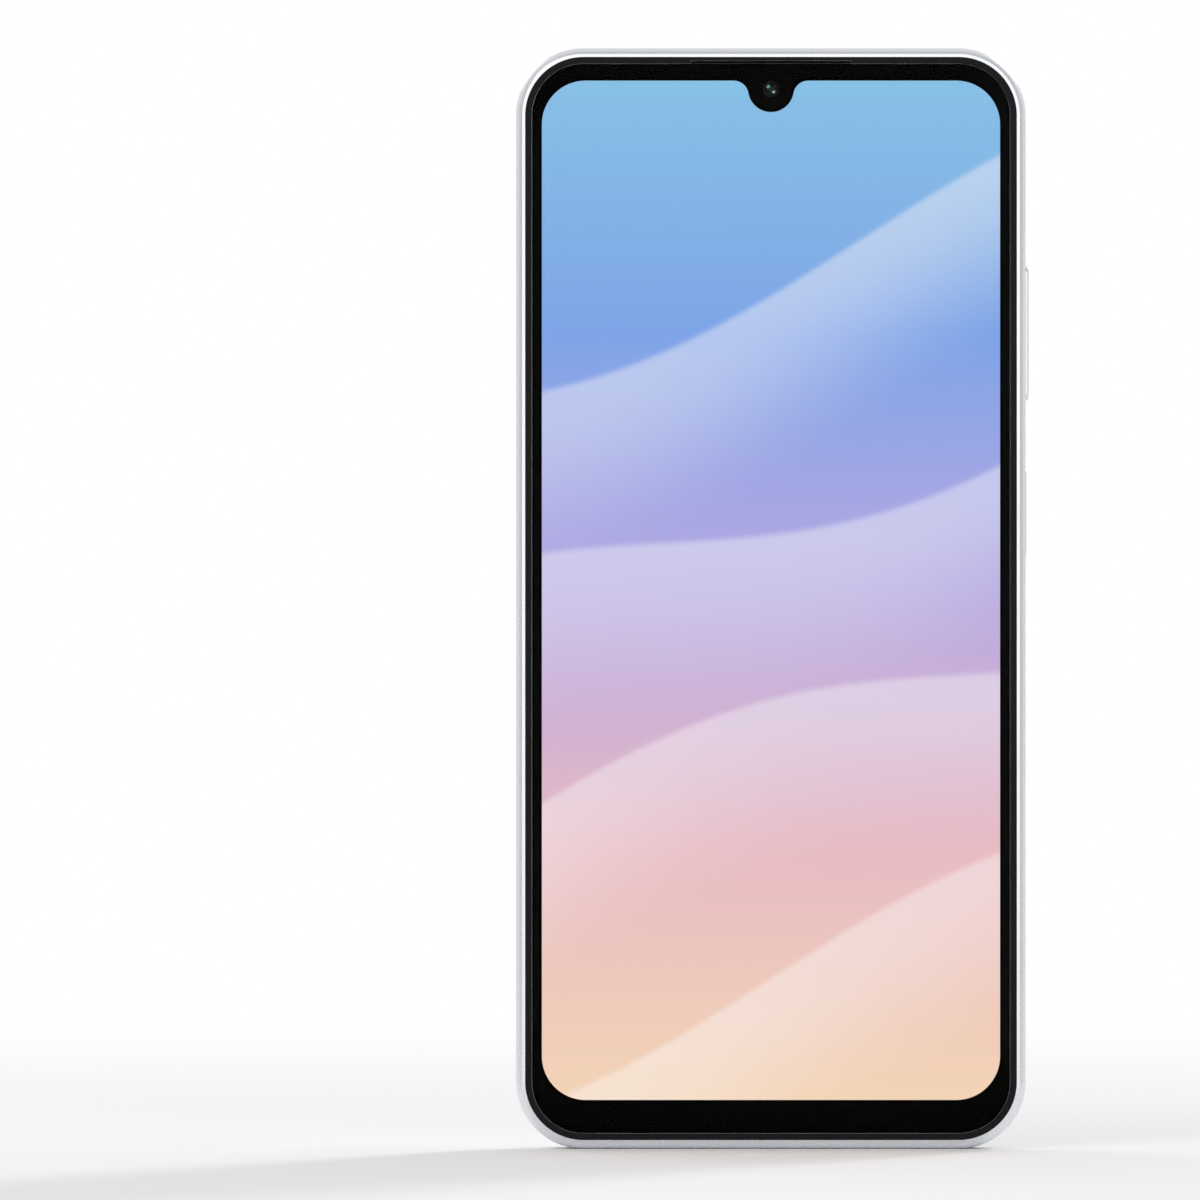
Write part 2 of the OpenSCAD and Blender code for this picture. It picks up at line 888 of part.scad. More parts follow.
module front_camera_lens() {
    color(lens_green) rod_y(
        0, front_camera_z, front_lens_r, front_barrel_y + front_mouth_t, front_bore_y
    );
}

module earpiece() {
    color(steel) difference() {
        between(plate_back, board_back + earpiece_rise)
            pad(earpiece_x, earpiece_z, earpiece_case[0], earpiece_case[1], earpiece_r);
        between(plate_back - over, plate_back + room) pad(
            earpiece_x, earpiece_port_z, earpiece_port[0], earpiece_port[1], earpiece_port_r
        );
    }
}

module earpiece_mesh() {
    color(dark_grey) difference() {
        block(
            -earpiece_l / 2 + seam, earpiece_l / 2 - seam, bezel_front + mesh_sink,
            bezel_front + mesh_sink + sheet, body_h - glass_inset + seam,
            body_h - front_lip - earpiece_drop - seam
        );
        for (x = [mesh_pitch - earpiece_l / 2:mesh_pitch:earpiece_l / 2 - mesh_pitch]) {
            rod_y(x, mesh_hole_z, mesh_hole_r, front_y, bezel_back);
        }
    }
}

module light_sensor() {
    color(dark_grey) {
        block(
            light_x - light_w / 2, light_x + light_w / 2, print_back + seam, lcd_back,
            light_low, light_high
        );
        block(
            light_x - light_w / 4, light_x + light_w / 4, lcd_back - seam, plate_front,
            light_low + seam, light_high - 2 * seam
        );
    }
}

module main_board() {
    color(board_green) between(board_front, board_back) difference() {
        intersection() {
            rounded(board_left, board_low, board_right, board_high, board_r);
            body_outline(wall + bay_gap);
        }
        pad(0, front_camera_z + 1, camera_notch[0], camera_notch[1], board_notch_r);
        pad(
            earpiece_x, earpiece_notch_z, earpiece_notch[0], earpiece_notch[1], board_notch_r
        );
        for (p = board_bosses) translate(p) circle(r = boss_bore_r);
    }
}

// Sheet-metal can between limits in X and Z, open towards the board
module can(limits, y_board, y_top) {
    low = min(y_board, y_top);
    high = max(y_board, y_top);
    inner_low = low + (y_top < y_board ? sheet : -over);
    inner_high = high + (y_top < y_board ? over : -sheet);
    difference() {
        between(low, high) rounded(limits[0], limits[2], limits[1], limits[3], can_r);
        between(inner_low, inner_high) rounded(
            limits[0] + sheet, limits[2] + sheet, limits[1] - sheet, limits[3] - sheet,
            can_r - sheet
        );
    }
}

module rear_shield() {
    color(steel) can(rear_can, board_back, board_back + rear_can_h);
}

module front_shield() {
    color(steel) can(front_can, board_front, board_front - front_can_h);
}

module board_chips() {
    chips = [processor, memory, power_chip, charger_chip, sound_chip, radio_chip];
    color(black) for (c = chips) {
        between(board_back, board_back + c[4]) pad(c[0], c[1], c[2], c[3], chip_r);
    }
}

module card_socket() {
    low = tray_z - tray_blade_l / 2 - socket_margin;
    high = tray_z + tray_blade_l / 2 + socket_margin;
    left = room - inner_x;
    right = left + tray_reach - case_gap;
    color(steel) difference() {
        block(left, right, board_front - socket_t, board_front, low, high);
        block(
            left - over, right - socket_end, board_front - socket_t + sheet,
            board_front - sheet, low + room, high - room
        );
        for (i = [0:2]) {
            start = left + socket_window[0] + i * socket_window_pitch;
            block(
                start, start + socket_window[1], board_front - socket_t - over,
                board_front - socket_t + sheet + seam, tray_z - socket_window[2] / 2,
                tray_z + socket_window[2] / 2
            );
        }
    }
}

module card_tray() {
    plate_x = seam - side_x;
    blade_x = plate_x + tray_plate_t;
    nano_x = blade_x + pocket_start;
    micro_x = nano_x + nano_w + pocket_gap;
    color(silver) difference() {
        union() {
            side_slot(plate_x, blade_x, tray_y, tray_z, tray_plate_l, tray_plate_w);
            block(
                blade_x - seam, plate_x + tray_reach, tray_y - tray_blade_t / 2,
                tray_y + tray_blade_t / 2, tray_z - tray_blade_l / 2, tray_z + tray_blade_l / 2
            );
        }
        block(
            nano_x, nano_x + nano_w, tray_y - tray_pocket_t / 2, tray_y + over,
            tray_z - nano_l / 2, tray_z + nano_l / 2
        );
        block(
            micro_x, micro_x + micro_w, tray_y - tray_pocket_t / 2, tray_y + over,
            tray_z - micro_l / 2, tray_z + micro_l / 2
        );
        translate([-side_x - over, tray_y, eject_z]) rotate([0, 90, 0])
            cylinder(r = eject_r, h = tray_plate_t + 2 * over);
    }
}

module tray_gasket() {
    plate_x = seam - side_x + tray_plate_t;
    color(seal_red) difference() {
        side_slot(
            plate_x, plate_x + gasket_t, tray_y, tray_z, tray_blade_l + gasket_grow,
            tray_blade_t + 2 * gasket_grow
        );
        block(
            plate_x - over, plate_x + over, tray_y - tray_blade_t / 2, tray_y + tray_blade_t / 2,
            tray_z - tray_blade_l / 2, tray_z + tray_blade_l / 2
        );
        translate([-side_x, tray_y, eject_z]) rotate([0, 90, 0])
            cylinder(r = eject_r + 2 * seam, h = wall);
    }
}

module sub_board() {
    color(board_green) between(board_front, board_back) difference() {
        rounded(sub_left, sub_low, sub_right, sub_high, sub_r);
        square([usb_w + 2 * case_gap, 2 * (port_z + usb_len + room)], center = true);
        translate([jack_x - jack_half - case_gap, 0])
            square([2 * (jack_half + case_gap), jack_end + case_gap]);
        for (p = sub_bosses) translate(p) circle(r = boss_bore_r);
    }
}

module usb_c_shell() {
    color(steel) difference() {
        end_slot(port_z, port_z + usb_len, 0, 0, usb_w, usb_h);
        end_slot(
            port_z - over, port_z + usb_len - usb_wall, 0, 0, usb_w - 2 * usb_wall,
            usb_h - 2 * usb_wall
        );
    }
}

module usb_c_tongue() {
    root_z = port_z + usb_len - usb_wall - tongue_root;
    color(black) {
        block(
            -tongue_w / 2, tongue_w / 2, -tongue_t / 2, tongue_t / 2, port_z + tongue_gap,
            root_z + seam
        );
        end_slot(
            root_z, root_z + tongue_root, 0, 0, usb_w - 2 * (usb_wall + root_gap),
            usb_h - 2 * (usb_wall + root_gap)
        );
    }
}

module headphone_jack() {
    color(black) difference() {
        union() {
            block(
                jack_x - jack_half, jack_x + jack_half, jack_y - jack_half_t,
                jack_y + jack_half_t, wall + seam, jack_end
            );
            translate([jack_x, jack_y, jack_z]) cylinder(r = jack_nose_r, h = wall);
        }
        translate([jack_x, jack_y, jack_z - over]) cylinder(r = jack_r, h = jack_depth + over);
        for (z = contact_zs) {
            block(
                jack_x + jack_half - contact_inset, jack_x + jack_half + over,
                jack_y - contact_w / 2 - contact_play, jack_y + contact_w / 2 + contact_play,
                z - contact_play, z + contact_l + contact_play
            );
        }
    }
}

module jack_contacts() {
    left = jack_x + jack_half - contact_inset;
    color(gold) {
        for (z = contact_zs) {
            block(
                left, left + contact_t, jack_y - contact_w / 2, jack_y + contact_w / 2, z,
                z + contact_l
            );
            block(
                left, jack_x + jack_half + contact_foot, board_back, board_back + contact_t,
                z + contact_shoulder, z + contact_l - contact_shoulder
            );
        }
    }
}

module microphones() {
    color(gold) {
        block(
            mic_x - mic_left, mic_x + mic_right, board_front - mic_t, board_front,
            sub_low + mic_edge, sub_low + mic_edge + mic_h
        );
        block(
            top_mic_x - mic_left, top_mic_x + mic_right, board_front - mic_t, board_front,
            board_high - mic_edge - mic_h, board_high - mic_edge
        );
    }
}

module main_flex() {
    color(amber) {
        block(
            -main_flex_half, main_flex_half, plate_back + floor_gap, battery_front,
            main_flex_low, main_flex_high
        );
        for (z = flex_plug_zs) {
            block(
                -flex_plug_half, flex_plug_half, battery_front - seam, board_front, z,
                z + flex_plug_l
            );
        }
    }
}

module antenna_cable() {
    color(dark_grey) {
        translate([cable_x, cable_y, cable_low + cable_bend])
            cylinder(r = cable_r, h = main_plug_z - cable_low - cable_bend);
        translate([cable_x + cable_bend, cable_y, cable_low + cable_bend]) rotate([90, 0, 0])
            rotate([0, 0, 180]) rotate_extrude(angle = 90) translate([cable_bend, 0])
                circle(r = cable_r);
        translate([cable_x + cable_bend, cable_y, cable_low]) rotate([0, 90, 0])
            cylinder(r = cable_r, h = sub_plug_x - cable_x - cable_bend);
        rod_y(sub_plug_x, cable_low, cable_plug_r, cable_y - cable_r, board_front);
        rod_y(cable_x, main_plug_z, cable_plug_r, cable_y - cable_r, board_front);
    }
}

module battery() {
    color(dark_grey) between(battery_front, battery_back)
        rounded(-battery_w / 2, battery_low, battery_w / 2, battery_high, battery_r);
}

module battery_board() {
    color(board_green) {
        block(
            pack_board[0], pack_board[1], battery_front + pack_board_step,
            battery_back - 2 * pack_board_step, battery_high,
            battery_high + pack_board_l
        );
        block(
            -pack_lead_half, pack_lead_half, pack_lead_y, pack_lead_y + sheet,
            battery_high + pack_lead[0], battery_high + pack_lead[1]
        );
        block(
            -pack_plug_half, pack_plug_half, board_back, pack_lead_y + seam,
            battery_high + pack_plug[0], battery_high + pack_plug[1]
        );
    }
}

module battery_adhesive() {
    color(tape_white) for (x = [-strip_x, strip_x]) {
        between(plate_back, battery_front) pad(
            x, (battery_low + battery_high) / 2, strip_size[0], strip_size[1], strip_r
        );
    }
}

module motor_case() {
    color(steel) {
        difference() {
            rod_y(motor_x, motor_z, motor_r, plate_back, motor_back);
            rod_y(
                motor_x, motor_z, motor_r - motor_wall, plate_back - over,
                motor_back - motor_wall
            );
        }
        rod_y(motor_x, motor_z, shaft_r, plate_back, motor_back - motor_wall + seam);
    }
}

module motor_rotor() {
    high = motor_back - motor_wall - room;
    rotor_r = motor_r - motor_wall - rotor_gap;
    color(gold) difference() {
        union() {
            rod_y(motor_x, motor_z, hub_r, rotor_low, high);
            rod_y(motor_x, motor_z, rotor_r, rotor_low, rotor_low + rotor_disc_t);
            intersection() {
                rod_y(motor_x, motor_z, rotor_r, rotor_low, high);
                block(
                    motor_x - motor_r, motor_x + motor_r, rotor_low, high, motor_z - motor_r,
                    motor_z - weight_gap
                );
            }
        }
        rod_y(motor_x, motor_z, shaft_r + running, rotor_low - over, high + over);
    }
}

// Outline of the speaker box, with the corner beside the boss left free
module box_outline(inset) {
    difference() {
        intersection() {
            rounded(box_left + inset, box_low + inset, box_right - inset, box_high - inset, box_r);
            body_outline(wall + bay_gap + inset);
        }
        translate(box_bosses[0]) circle(r = boss_r + play + inset);
    }
}

module speaker_box() {
    port_l = speaker_pitch * (speaker_slots - 1) + speaker_slot_l;
    port_x = speaker_x - speaker_slot_l / 2;
    color(dark_grey) difference() {
        union() {
            between(box_front, cover_back) box_outline(0);
            between(cover_front, cover_back)
                rounded(sub_left, wing_low, box_left + wing_overlap, sub_high, sub_r);
            for (p = sub_bosses) rod_y(p[0], p[1], boss_r, board_back, cover_front + seam);
        }
        between(box_front - over, cover_front) box_outline(box_wall);
        block(
            port_x, port_x + port_l, -box_port_half, box_port_half, box_low - over,
            box_low + box_wall + over
        );
        // Room for the headphone jack
        between(cover_front - over, cover_back + over) translate([jack_x - jack_half - room, 0])
            square([2 * jack_half + room + wing_gap, jack_end + room]);
        for (p = concat(sub_bosses, box_bosses)) {
            rod_y(p[0], p[1], boss_bore_r, board_front, cover_back + over);
            rod_y(p[0], p[1], head_r + seam, cover_back - head_t, cover_back + over);
        }
    }
}

module speaker_lid() {
    color(dark_grey) between(lid_front, box_front) box_outline(0);
}

module speaker_driver() {
    color(steel) {
        difference() {
            rod_y(driver_x, driver_z, driver_r, driver_front, driver_back);
            rod_y(
                driver_x, driver_z, driver_r - driver_wall, driver_front - over,
                driver_back - cup_t
            );
        }
        rod_y(driver_x, driver_z, pole_r, driver_front + cone_step, driver_back - cup_t + seam);
        difference() {
            rod_y(
                driver_x, driver_z, driver_r + basket_w, basket_front, driver_front + basket_seat
            );
            rod_y(driver_x, driver_z, cone_r + play, basket_front - over, driver_front);
            rod_y(driver_x, driver_z, driver_r - driver_wall, basket_front, driver_front + over);
        }
    }
}

module speaker_diaphragm() {
    color(black) {
        difference() {
            rod_y(driver_x, driver_z, cone_r, cone_y, cone_y + cone_t);
            rod_y(driver_x, driver_z, pole_r, cone_y - over, cone_y + cone_t - cone_step);
        }
        difference() {
            rod_y(driver_x, driver_z, coil_r, cone_y, driver_back - cup_t - swing - coil_gap);
            rod_y(
                driver_x, driver_z, coil_r - coil_t, cone_y + cone_t / 2, driver_back
            );
        }
    }
}

module speaker_mesh() {
    left = speaker_x - speaker_slot_l / 2 - speaker_mesh_margin;
    mesh_l = speaker_pitch * (speaker_slots - 1) + speaker_slot_l + 2 * speaker_mesh_margin;
    color(dark_grey) block(
        left, left + mesh_l, -speaker_mesh_half, speaker_mesh_half, wall, wall + sheet
    );
}

// Flexible lead of a camera module and the plug that goes on the front of the main board
module camera_lead(z, case, w) {
    color(amber) {
        block(
            board_right - lead_l, camera_x - case / 2 + seam, module_front,
            module_front + sheet, z - w / 2, z + w / 2
        );
        block(
            board_right - lead_plug[0], board_right - lead_plug[1], module_front + sheet - seam,
            board_front, z - w / 2 + lead_plug_side, z + w / 2 - lead_plug_side
        );
    }
}

module main_camera() {
    z = camera_zs[1];
    color(black) difference() {
        between(module_front, case_back) pad(camera_x, z, main_case, main_case, main_case_r);
        rod_y(camera_x, z, barrel_r + running, barrel_bottom - case_gap, case_back + over);
    }
    camera_lead(z, main_case, main_lead_w);
}

// Lens barrel with a stepped, cone-shaped mouth and its front lens
module barrel(z, r, mouth_r, lens_r, y0, y1) {
    difference() {
        rod_y(camera_x, z, r, y0, y1);
        translate([camera_x, y1 - mouth_t, z]) rotate([-90, 0, 0])
            cylinder(r1 = lens_r, r2 = mouth_r, h = mouth_t + seam);
    }
}

module focus_barrel() {
    color(dark_grey)
        barrel(camera_zs[1], barrel_r, main_mouth_r, main_iris_r, barrel_bottom, barrel_top);
}

// Fixed camera module with its barrel
module small_camera(z) {
    color(black) {
        between(module_front, case_back) pad(camera_x, z, small_case, small_case, small_case_r);
        barrel(z, small_barrel_r, small_mouth_r, iris_r, case_back - seam, barrel_top);
    }
    camera_lead(z, small_case, small_lead_w);
}

module top_camera() {
    small_camera(camera_zs[0]);
}

module low_camera() {
    small_camera(camera_zs[2]);
}

// Ring that stands on the rear cover, with a collar through it and a seat for the window
module camera_ring(z) {
    r = ring_d / 2;
    color(black) translate([camera_x, 0, z]) rotate([90, 0, 0]) rotate_extrude() polygon([
        [ring_bore_r, -rear_inner], [ring_collar_r, -rear_inner], [ring_collar_r, -rear_y],
        [r, -rear_y], [r, ring_edge - ring_top], [r - ring_edge, -ring_top],
        [r - ring_land, -ring_top], [window_d / 2 + seam, ring_bevel - ring_top],
        [window_d / 2 + seam, -window_back],
        [ring_bore_r, -window_back]
    ]);
}

module camera_window(z) {
    color(smoked_glass)
        rod_y(camera_x, z, window_d / 2, window_back, window_back + window_t);
}

module camera_ring_top() {
    camera_ring(camera_zs[0]);
}

module camera_ring_mid() {
    camera_ring(camera_zs[1]);
}

module camera_ring_low() {
    camera_ring(camera_zs[2]);
}

module camera_window_top() {
    camera_window(camera_zs[0]);
}

module camera_window_mid() {
    camera_window(camera_zs[1]);
}

module camera_window_low() {
    camera_window(camera_zs[2]);
}

module flash_lens() {
    color(flash_white) {
        rod_y(flash_x, flash_z, flash_d / 2 - seam, rear_inner - flash_flange_t, rear_y);
        rod_y(
            flash_x, flash_z, flash_d / 2 - flash_stem_step, rear_inner - flash_stem_t,
            rear_inner
        );
    }
}

module flash_led() {
    color(phosphor) between(board_back, board_back + led_t)
        pad(flash_x, flash_z, led_w, led_w, led_r);
}

// Key with a flange behind the side wall; proud is its height above the edge
module side_key(z, length, proud) {
    side_slot(flange_outer - seam, side_x + proud, 0, z, length, key_w);
    side_slot(
        flange_inner, flange_outer, 0, z, length + 2 * flange_lip, key_w + 2 * flange_rise
    );
}

module volume_key() {
    nub_r = flange_inner - key_flex_outer - seam;
    color(silver) {
        side_key(volume_z, volume_l, volume_proud);
        translate([flange_inner, -key_w / 2, volume_z]) rotate([-90, 0, 0])
            cylinder(r = nub_r, h = key_w);
    }
}

module power_key() {
    color(silver) difference() {
        side_key(power_z, power_l, power_proud);
        side_slot(
            side_x + power_proud - sensor_t, side_x + power_proud + over, 0, power_z,
            sensor_l + 2 * seam, sensor_w + 2 * seam
        );
    }
}

module fingerprint_sensor() {
    color(steel) side_slot(
        side_x + power_proud - sensor_t, side_x + power_proud, 0, power_z, sensor_l, sensor_w
    );
}

module side_key_flex() {
    low = key_strip_z - key_strip_w / 2;
    high = key_strip_z + key_strip_w / 2;
    color(amber) {
        block(
            key_flex_inner, key_flex_outer, -strip_half, strip_half, bracket_low + strip_end,
            bracket_high - strip_end
        );
        block(key_flex_inner, key_flex_outer, plate_back, seam - strip_half, low, high);
        block(
            board_right - lead_l, key_flex_outer, plate_back, plate_back + sheet, low, high
        );
        block(
            board_right - lead_plug[0], board_right - lead_plug[1], plate_back + sheet - seam,
            board_front, low + lead_plug_side, high - lead_plug_side
        );
        for (z = [volume_z - rocker_dome, volume_z + rocker_dome, power_z]) {
            translate([key_flex_outer - seam, 0, z]) rotate([0, 90, 0])
                cylinder(r = dome_r, h = dome_h + seam);
        }
    }
}

module key_bracket() {
    inner = key_flex_inner - bracket_t;
    color(steel) {
        block(inner, key_flex_inner, -strip_half, strip_half, bracket_low, bracket_high);
        for (z = [bracket_low, bracket_high - bracket_foot]) {
            block(inner, inner_x, -strip_half, strip_half, z, z + bracket_foot);
        }
    }
}

side_frame();
mid_plate();
rear_cover();
upper_cover();
cover_screws();
display_bezel();
cover_glass();
glass_border_print();
lcd_panel();
backlight_unit();
display_flex();
display_adhesive();
front_camera();
front_camera_lens();
earpiece();
earpiece_mesh();
light_sensor();
main_board();
rear_shield();
front_shield();
board_chips();
card_socket();
card_tray();
tray_gasket();
sub_board();
usb_c_shell();
usb_c_tongue();
headphone_jack();
jack_contacts();
microphones();
main_flex();
antenna_cable();
battery();
battery_board();
battery_adhesive();
motor_case();
motor_rotor();
speaker_box();
speaker_lid();
speaker_driver();
speaker_diaphragm();
speaker_mesh();
main_camera();
focus_barrel();
top_camera();
low_camera();
camera_ring_top();
camera_ring_mid();
camera_ring_low();
camera_window_top();
camera_window_mid();
camera_window_low();
flash_lens();
flash_led();
volume_key();
power_key();
fingerprint_sensor();
side_key_flex();
key_bracket();
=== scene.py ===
import json
import math

import bmesh
import bpy
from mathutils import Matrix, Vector


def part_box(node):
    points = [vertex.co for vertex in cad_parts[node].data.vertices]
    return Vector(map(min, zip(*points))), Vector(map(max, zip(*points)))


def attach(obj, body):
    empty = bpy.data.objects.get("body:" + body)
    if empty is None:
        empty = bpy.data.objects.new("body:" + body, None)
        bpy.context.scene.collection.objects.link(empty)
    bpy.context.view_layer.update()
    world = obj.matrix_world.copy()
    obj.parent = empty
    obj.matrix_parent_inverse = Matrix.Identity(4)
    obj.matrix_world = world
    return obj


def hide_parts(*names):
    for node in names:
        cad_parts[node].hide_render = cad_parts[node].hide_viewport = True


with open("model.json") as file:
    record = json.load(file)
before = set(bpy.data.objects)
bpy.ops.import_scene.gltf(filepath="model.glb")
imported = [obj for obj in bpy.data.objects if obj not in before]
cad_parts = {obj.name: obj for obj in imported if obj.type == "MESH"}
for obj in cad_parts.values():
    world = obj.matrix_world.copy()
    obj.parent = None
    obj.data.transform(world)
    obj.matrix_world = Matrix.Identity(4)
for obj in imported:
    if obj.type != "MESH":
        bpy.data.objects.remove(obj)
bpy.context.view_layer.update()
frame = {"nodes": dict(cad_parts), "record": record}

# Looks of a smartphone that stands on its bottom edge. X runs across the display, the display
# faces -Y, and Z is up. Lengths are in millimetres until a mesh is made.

MM = 0.001


def box(node):
    """Lowest and highest corner of a CAD node in millimetres."""
    low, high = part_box(node)
    return low / MM, high / MM


def middle_of(node):
    """Centre of a CAD node's box."""
    low, high = box(node)
    return tuple((a + b) / 2 for a, b in zip(low, high))


def centre_of(node):
    """Centre of a CAD node in X and Z."""
    x, _, z = middle_of(node)
    return x, z


# ---------------- places taken from the frame

FRAME_LOW, FRAME_HIGH = box("side_frame")
GLASS_LOW, GLASS_HIGH = box("cover_glass")
BEZEL_LOW, BEZEL_HIGH = box("display_bezel")
PRINT_LOW, PRINT_HIGH = box("glass_border_print")
REAR_LOW, REAR_HIGH = box("rear_cover")
HALF_W = FRAME_HIGH.x
HEIGHT = FRAME_HIGH.z
FRONT_Y = GLASS_LOW.y
REAR_Y = REAR_HIGH.y
GLASS_INSET = GLASS_LOW.z
BEZEL_INSET = BEZEL_LOW.z
SEAM = 0.05
REAR_INSET = REAR_LOW.z - SEAM

# ---------------- driving sizes

# Side frame
CORNER_R = 10.3
CORNER_STEPS = 40
FLAT_HALF = 2.4
WALL = 2.2
SHOULDER_SWEEP = 60
SHOULDER_STEPS = 10
FRONT_CHAMFER = 0.45
REAR_CHAMFER = 0.4
CHAMFER_RISE = 0.1
LEDGE_Y = 3.0
INSIDE = WALL + 0.5
ROUND_STEPS = 128

# Openings in the edge
PAST = 1.0
MOUTH_FLARE = 0.08
ROUND_OFF = 0.001
PORT_FLARE = 0.16
JACK_D = 4.7
JACK_FLARE = 0.15
MIC_D = 1.0
MIC_X = 7.4
TOP_MIC_X = 11.0
SOUND_SLOTS = 6
SOUND_X = 14.4
SOUND_PITCH = 2.1
SOUND_L = 1.5
SOUND_W = 1.1

# Keys
KEY_W = 2.5
KEY_FLANGE_OVER = 1.5
FLANGE_GROW = 0.9
FLANGE_IN = 35.85
FLANGE_T = 0.5
PLAY = 0.15
VOLUME_FILLET = 0.3
POWER_FILLET = 0.18
RECESS_OVER = 1.2
RECESS_W = 3.4
RECESS_DEPTH = 0.2

# Card tray
TRAY_CUT_DEPTH = 1.28
TRAY_CUT_L = 17.4
TRAY_CUT_W = 2.6
TRAY_FLARE = 0.06
TRAY_PLATE_T = 0.95
BLADE_HALF_T = 0.425
BLADE_HALF_L = 7.8
BLADE_NOSE = 1.2
BLADE_PLAY = 0.1
POCKET_FLOOR = 0.3
POCKET_START = 2.0
SMALL_CARD = (8.9, 6.2)
LARGE_CARD_START = 10.5
LARGE_CARD = (10.8, 7.2)
EJECT_D = 1.0
EJECT_UP = 1.5

# Earpiece
EARPIECE_HALF = 12.25
EARPIECE_DROP = 0.55
CLOTH_GAP = 0.02
CLOTH_T = 0.06

# Cameras and flash
CAMERAS = ("top", "mid", "low")
WIDE_APERTURE = 2.4
SMALL_APERTURE = 1.58
WINDOW_PRINT_R = 4.9
WINDOW_PRINT_T = 0.04
RING_FOOT_R = 5.75
RING_BORE_R = 4.95
HOOD_STEPS = 5
HOOD_LAND = 0.12
FRONT_DOME_R = 0.8
FRONT_DOME_PROUD = 0.35
FLASH_RIBS = 4
FLASH_RIB_DEPTH = 0.12
FLASH_LENS_T = 1.4

# Charging port
PORT_WALL = 0.3
TONGUE_HALF_W = 3.345
TONGUE_HALF_T = 0.35
TONGUE_ROOT = 2.0
CONTACT_COUNT = 12
LONG_CONTACTS = (0, 3, 8, 11)
CONTACT_PITCH = 0.5
CONTACT_W = 0.25
CONTACT_T = 0.03

# Lit screen
SCREEN_HALF = 34.95
SCREEN_LOW = 7.5
SCREEN_HIGH = HEIGHT - 5
SCREEN_R = 6.7
NOTCH_R = 3.5
NOTCH_Z = HEIGHT - 6.3
FLARE_R = 2.3
CAMERA_OPENING = 1.3


# ---------------- meshes

def make(name, points, faces, looks=()):
    """Object from points in millimetres, faces, and for each face the index of its look."""
    mesh = bpy.data.meshes.new(name)
    mesh.from_pydata([tuple(c * MM for c in p) for p in points], [], faces)
    for polygon, look in zip(mesh.polygons, looks):
        polygon.material_index = look
    piece = bpy.data.objects.new(name, mesh)
    bpy.context.scene.collection.objects.link(piece)
    tidy_normals(piece)
    return piece


def tidy_normals(piece):
    """Points every face outwards."""
    work = bmesh.new()
    work.from_mesh(piece.data)
    bmesh.ops.recalc_face_normals(work, faces=work.faces)
    work.to_mesh(piece.data)
    work.free()


def loft(name, loops, closed=False, looks=None):
    """Skin over loops of as many points each; closed joins the last to the first."""
    count = len(loops[0])
    points = [p for loop in loops for p in loop]
    faces = []
    indices = []
    spans = len(loops) if closed else len(loops) - 1
    for span in range(spans):
        here = span * count
        there = (span + 1) % len(loops) * count
        for i in range(count):
            j = (i + 1) % count
            faces.append((here + i, here + j, there + j, there + i))
            indices.append(looks[span] if looks else 0)
    if not closed:
        faces.append(tuple(range(count)))
        faces.append(tuple(range(len(points) - 1, len(points) - 1 - count, -1)))
        indices += [looks[0], looks[-1]] if looks else [0, 0]
    return make(name, points, faces, indices)


def outline(inset):
    """Points in X and Z of the body's outline, moved inwards."""
    radius = CORNER_R - inset
    points = []
    for turn, (sx, sz) in enumerate(((1, 1), (-1, 1), (-1, -1), (1, -1))):
        centre_x = sx * (HALF_W - CORNER_R)
        centre_z = HEIGHT / 2 + sz * (HEIGHT / 2 - CORNER_R)
        for step in range(CORNER_STEPS + 1):
            angle = math.radians(90 * (turn + step / CORNER_STEPS))
            points.append((centre_x + radius * math.cos(angle),
                           centre_z + radius * math.sin(angle)))
    return points


def round_the_edge(name, section, closed=True, looks=None):
    """Runs a section of (inset, depth) points round the body's outline."""
    loops = [[(x, depth, z) for x, z in outline(inset)] for inset, depth in section]
    return loft(name, loops, closed, looks)


def lathe(name, profile, x, z, closed=True, looks=None):
    """Turns a profile of (radius, depth) points round an axis along Y."""
    loops = []
    for radius, depth in profile:
        angles = [2 * math.pi * i / ROUND_STEPS for i in range(ROUND_STEPS)]
        loops.append([(x + radius * math.cos(a), depth, z + radius * math.sin(a))
                      for a in angles])
    return loft(name, loops, closed, looks)


def slot_points(length, width, steps=16):
    """Slot with round ends, long in its first direction."""
    radius = width / 2
    reach = length / 2 - radius
    points = []
    for side, start in ((1, -90), (-1, 90)):
        for step in range(steps + 1):
            angle = math.radians(start + 180 * step / steps)
            points.append((side * reach + radius * math.cos(angle), radius * math.sin(angle)))
    return points


def side_slot(name, sections, y, z, length, width):
    """Slot shape along X; sections are (x, growth) and the slot is long in Z."""
    loops = []
    for x, growth in sections:
        loops.append([(x, y + v, z + u) for u, v in slot_points(length + growth, width + growth)])
    return loft(name, loops)


def end_slot(name, sections, x, y, length, width):
    """Slot shape along Z; sections are (z, growth) and the slot is long in X."""
    loops = []
    for z, growth in sections:
        loops.append([(x + u, y + v, z) for u, v in slot_points(length + growth, width + growth)])
    return loft(name, loops)


def block(name, low, high):
    """Box between two corners."""
    loops = []
    for y in (low[1], high[1]):
        loops.append([(low[0], y, low[2]), (high[0], y, low[2]),
                      (high[0], y, high[2]), (low[0], y, high[2])])
    return loft(name, loops)


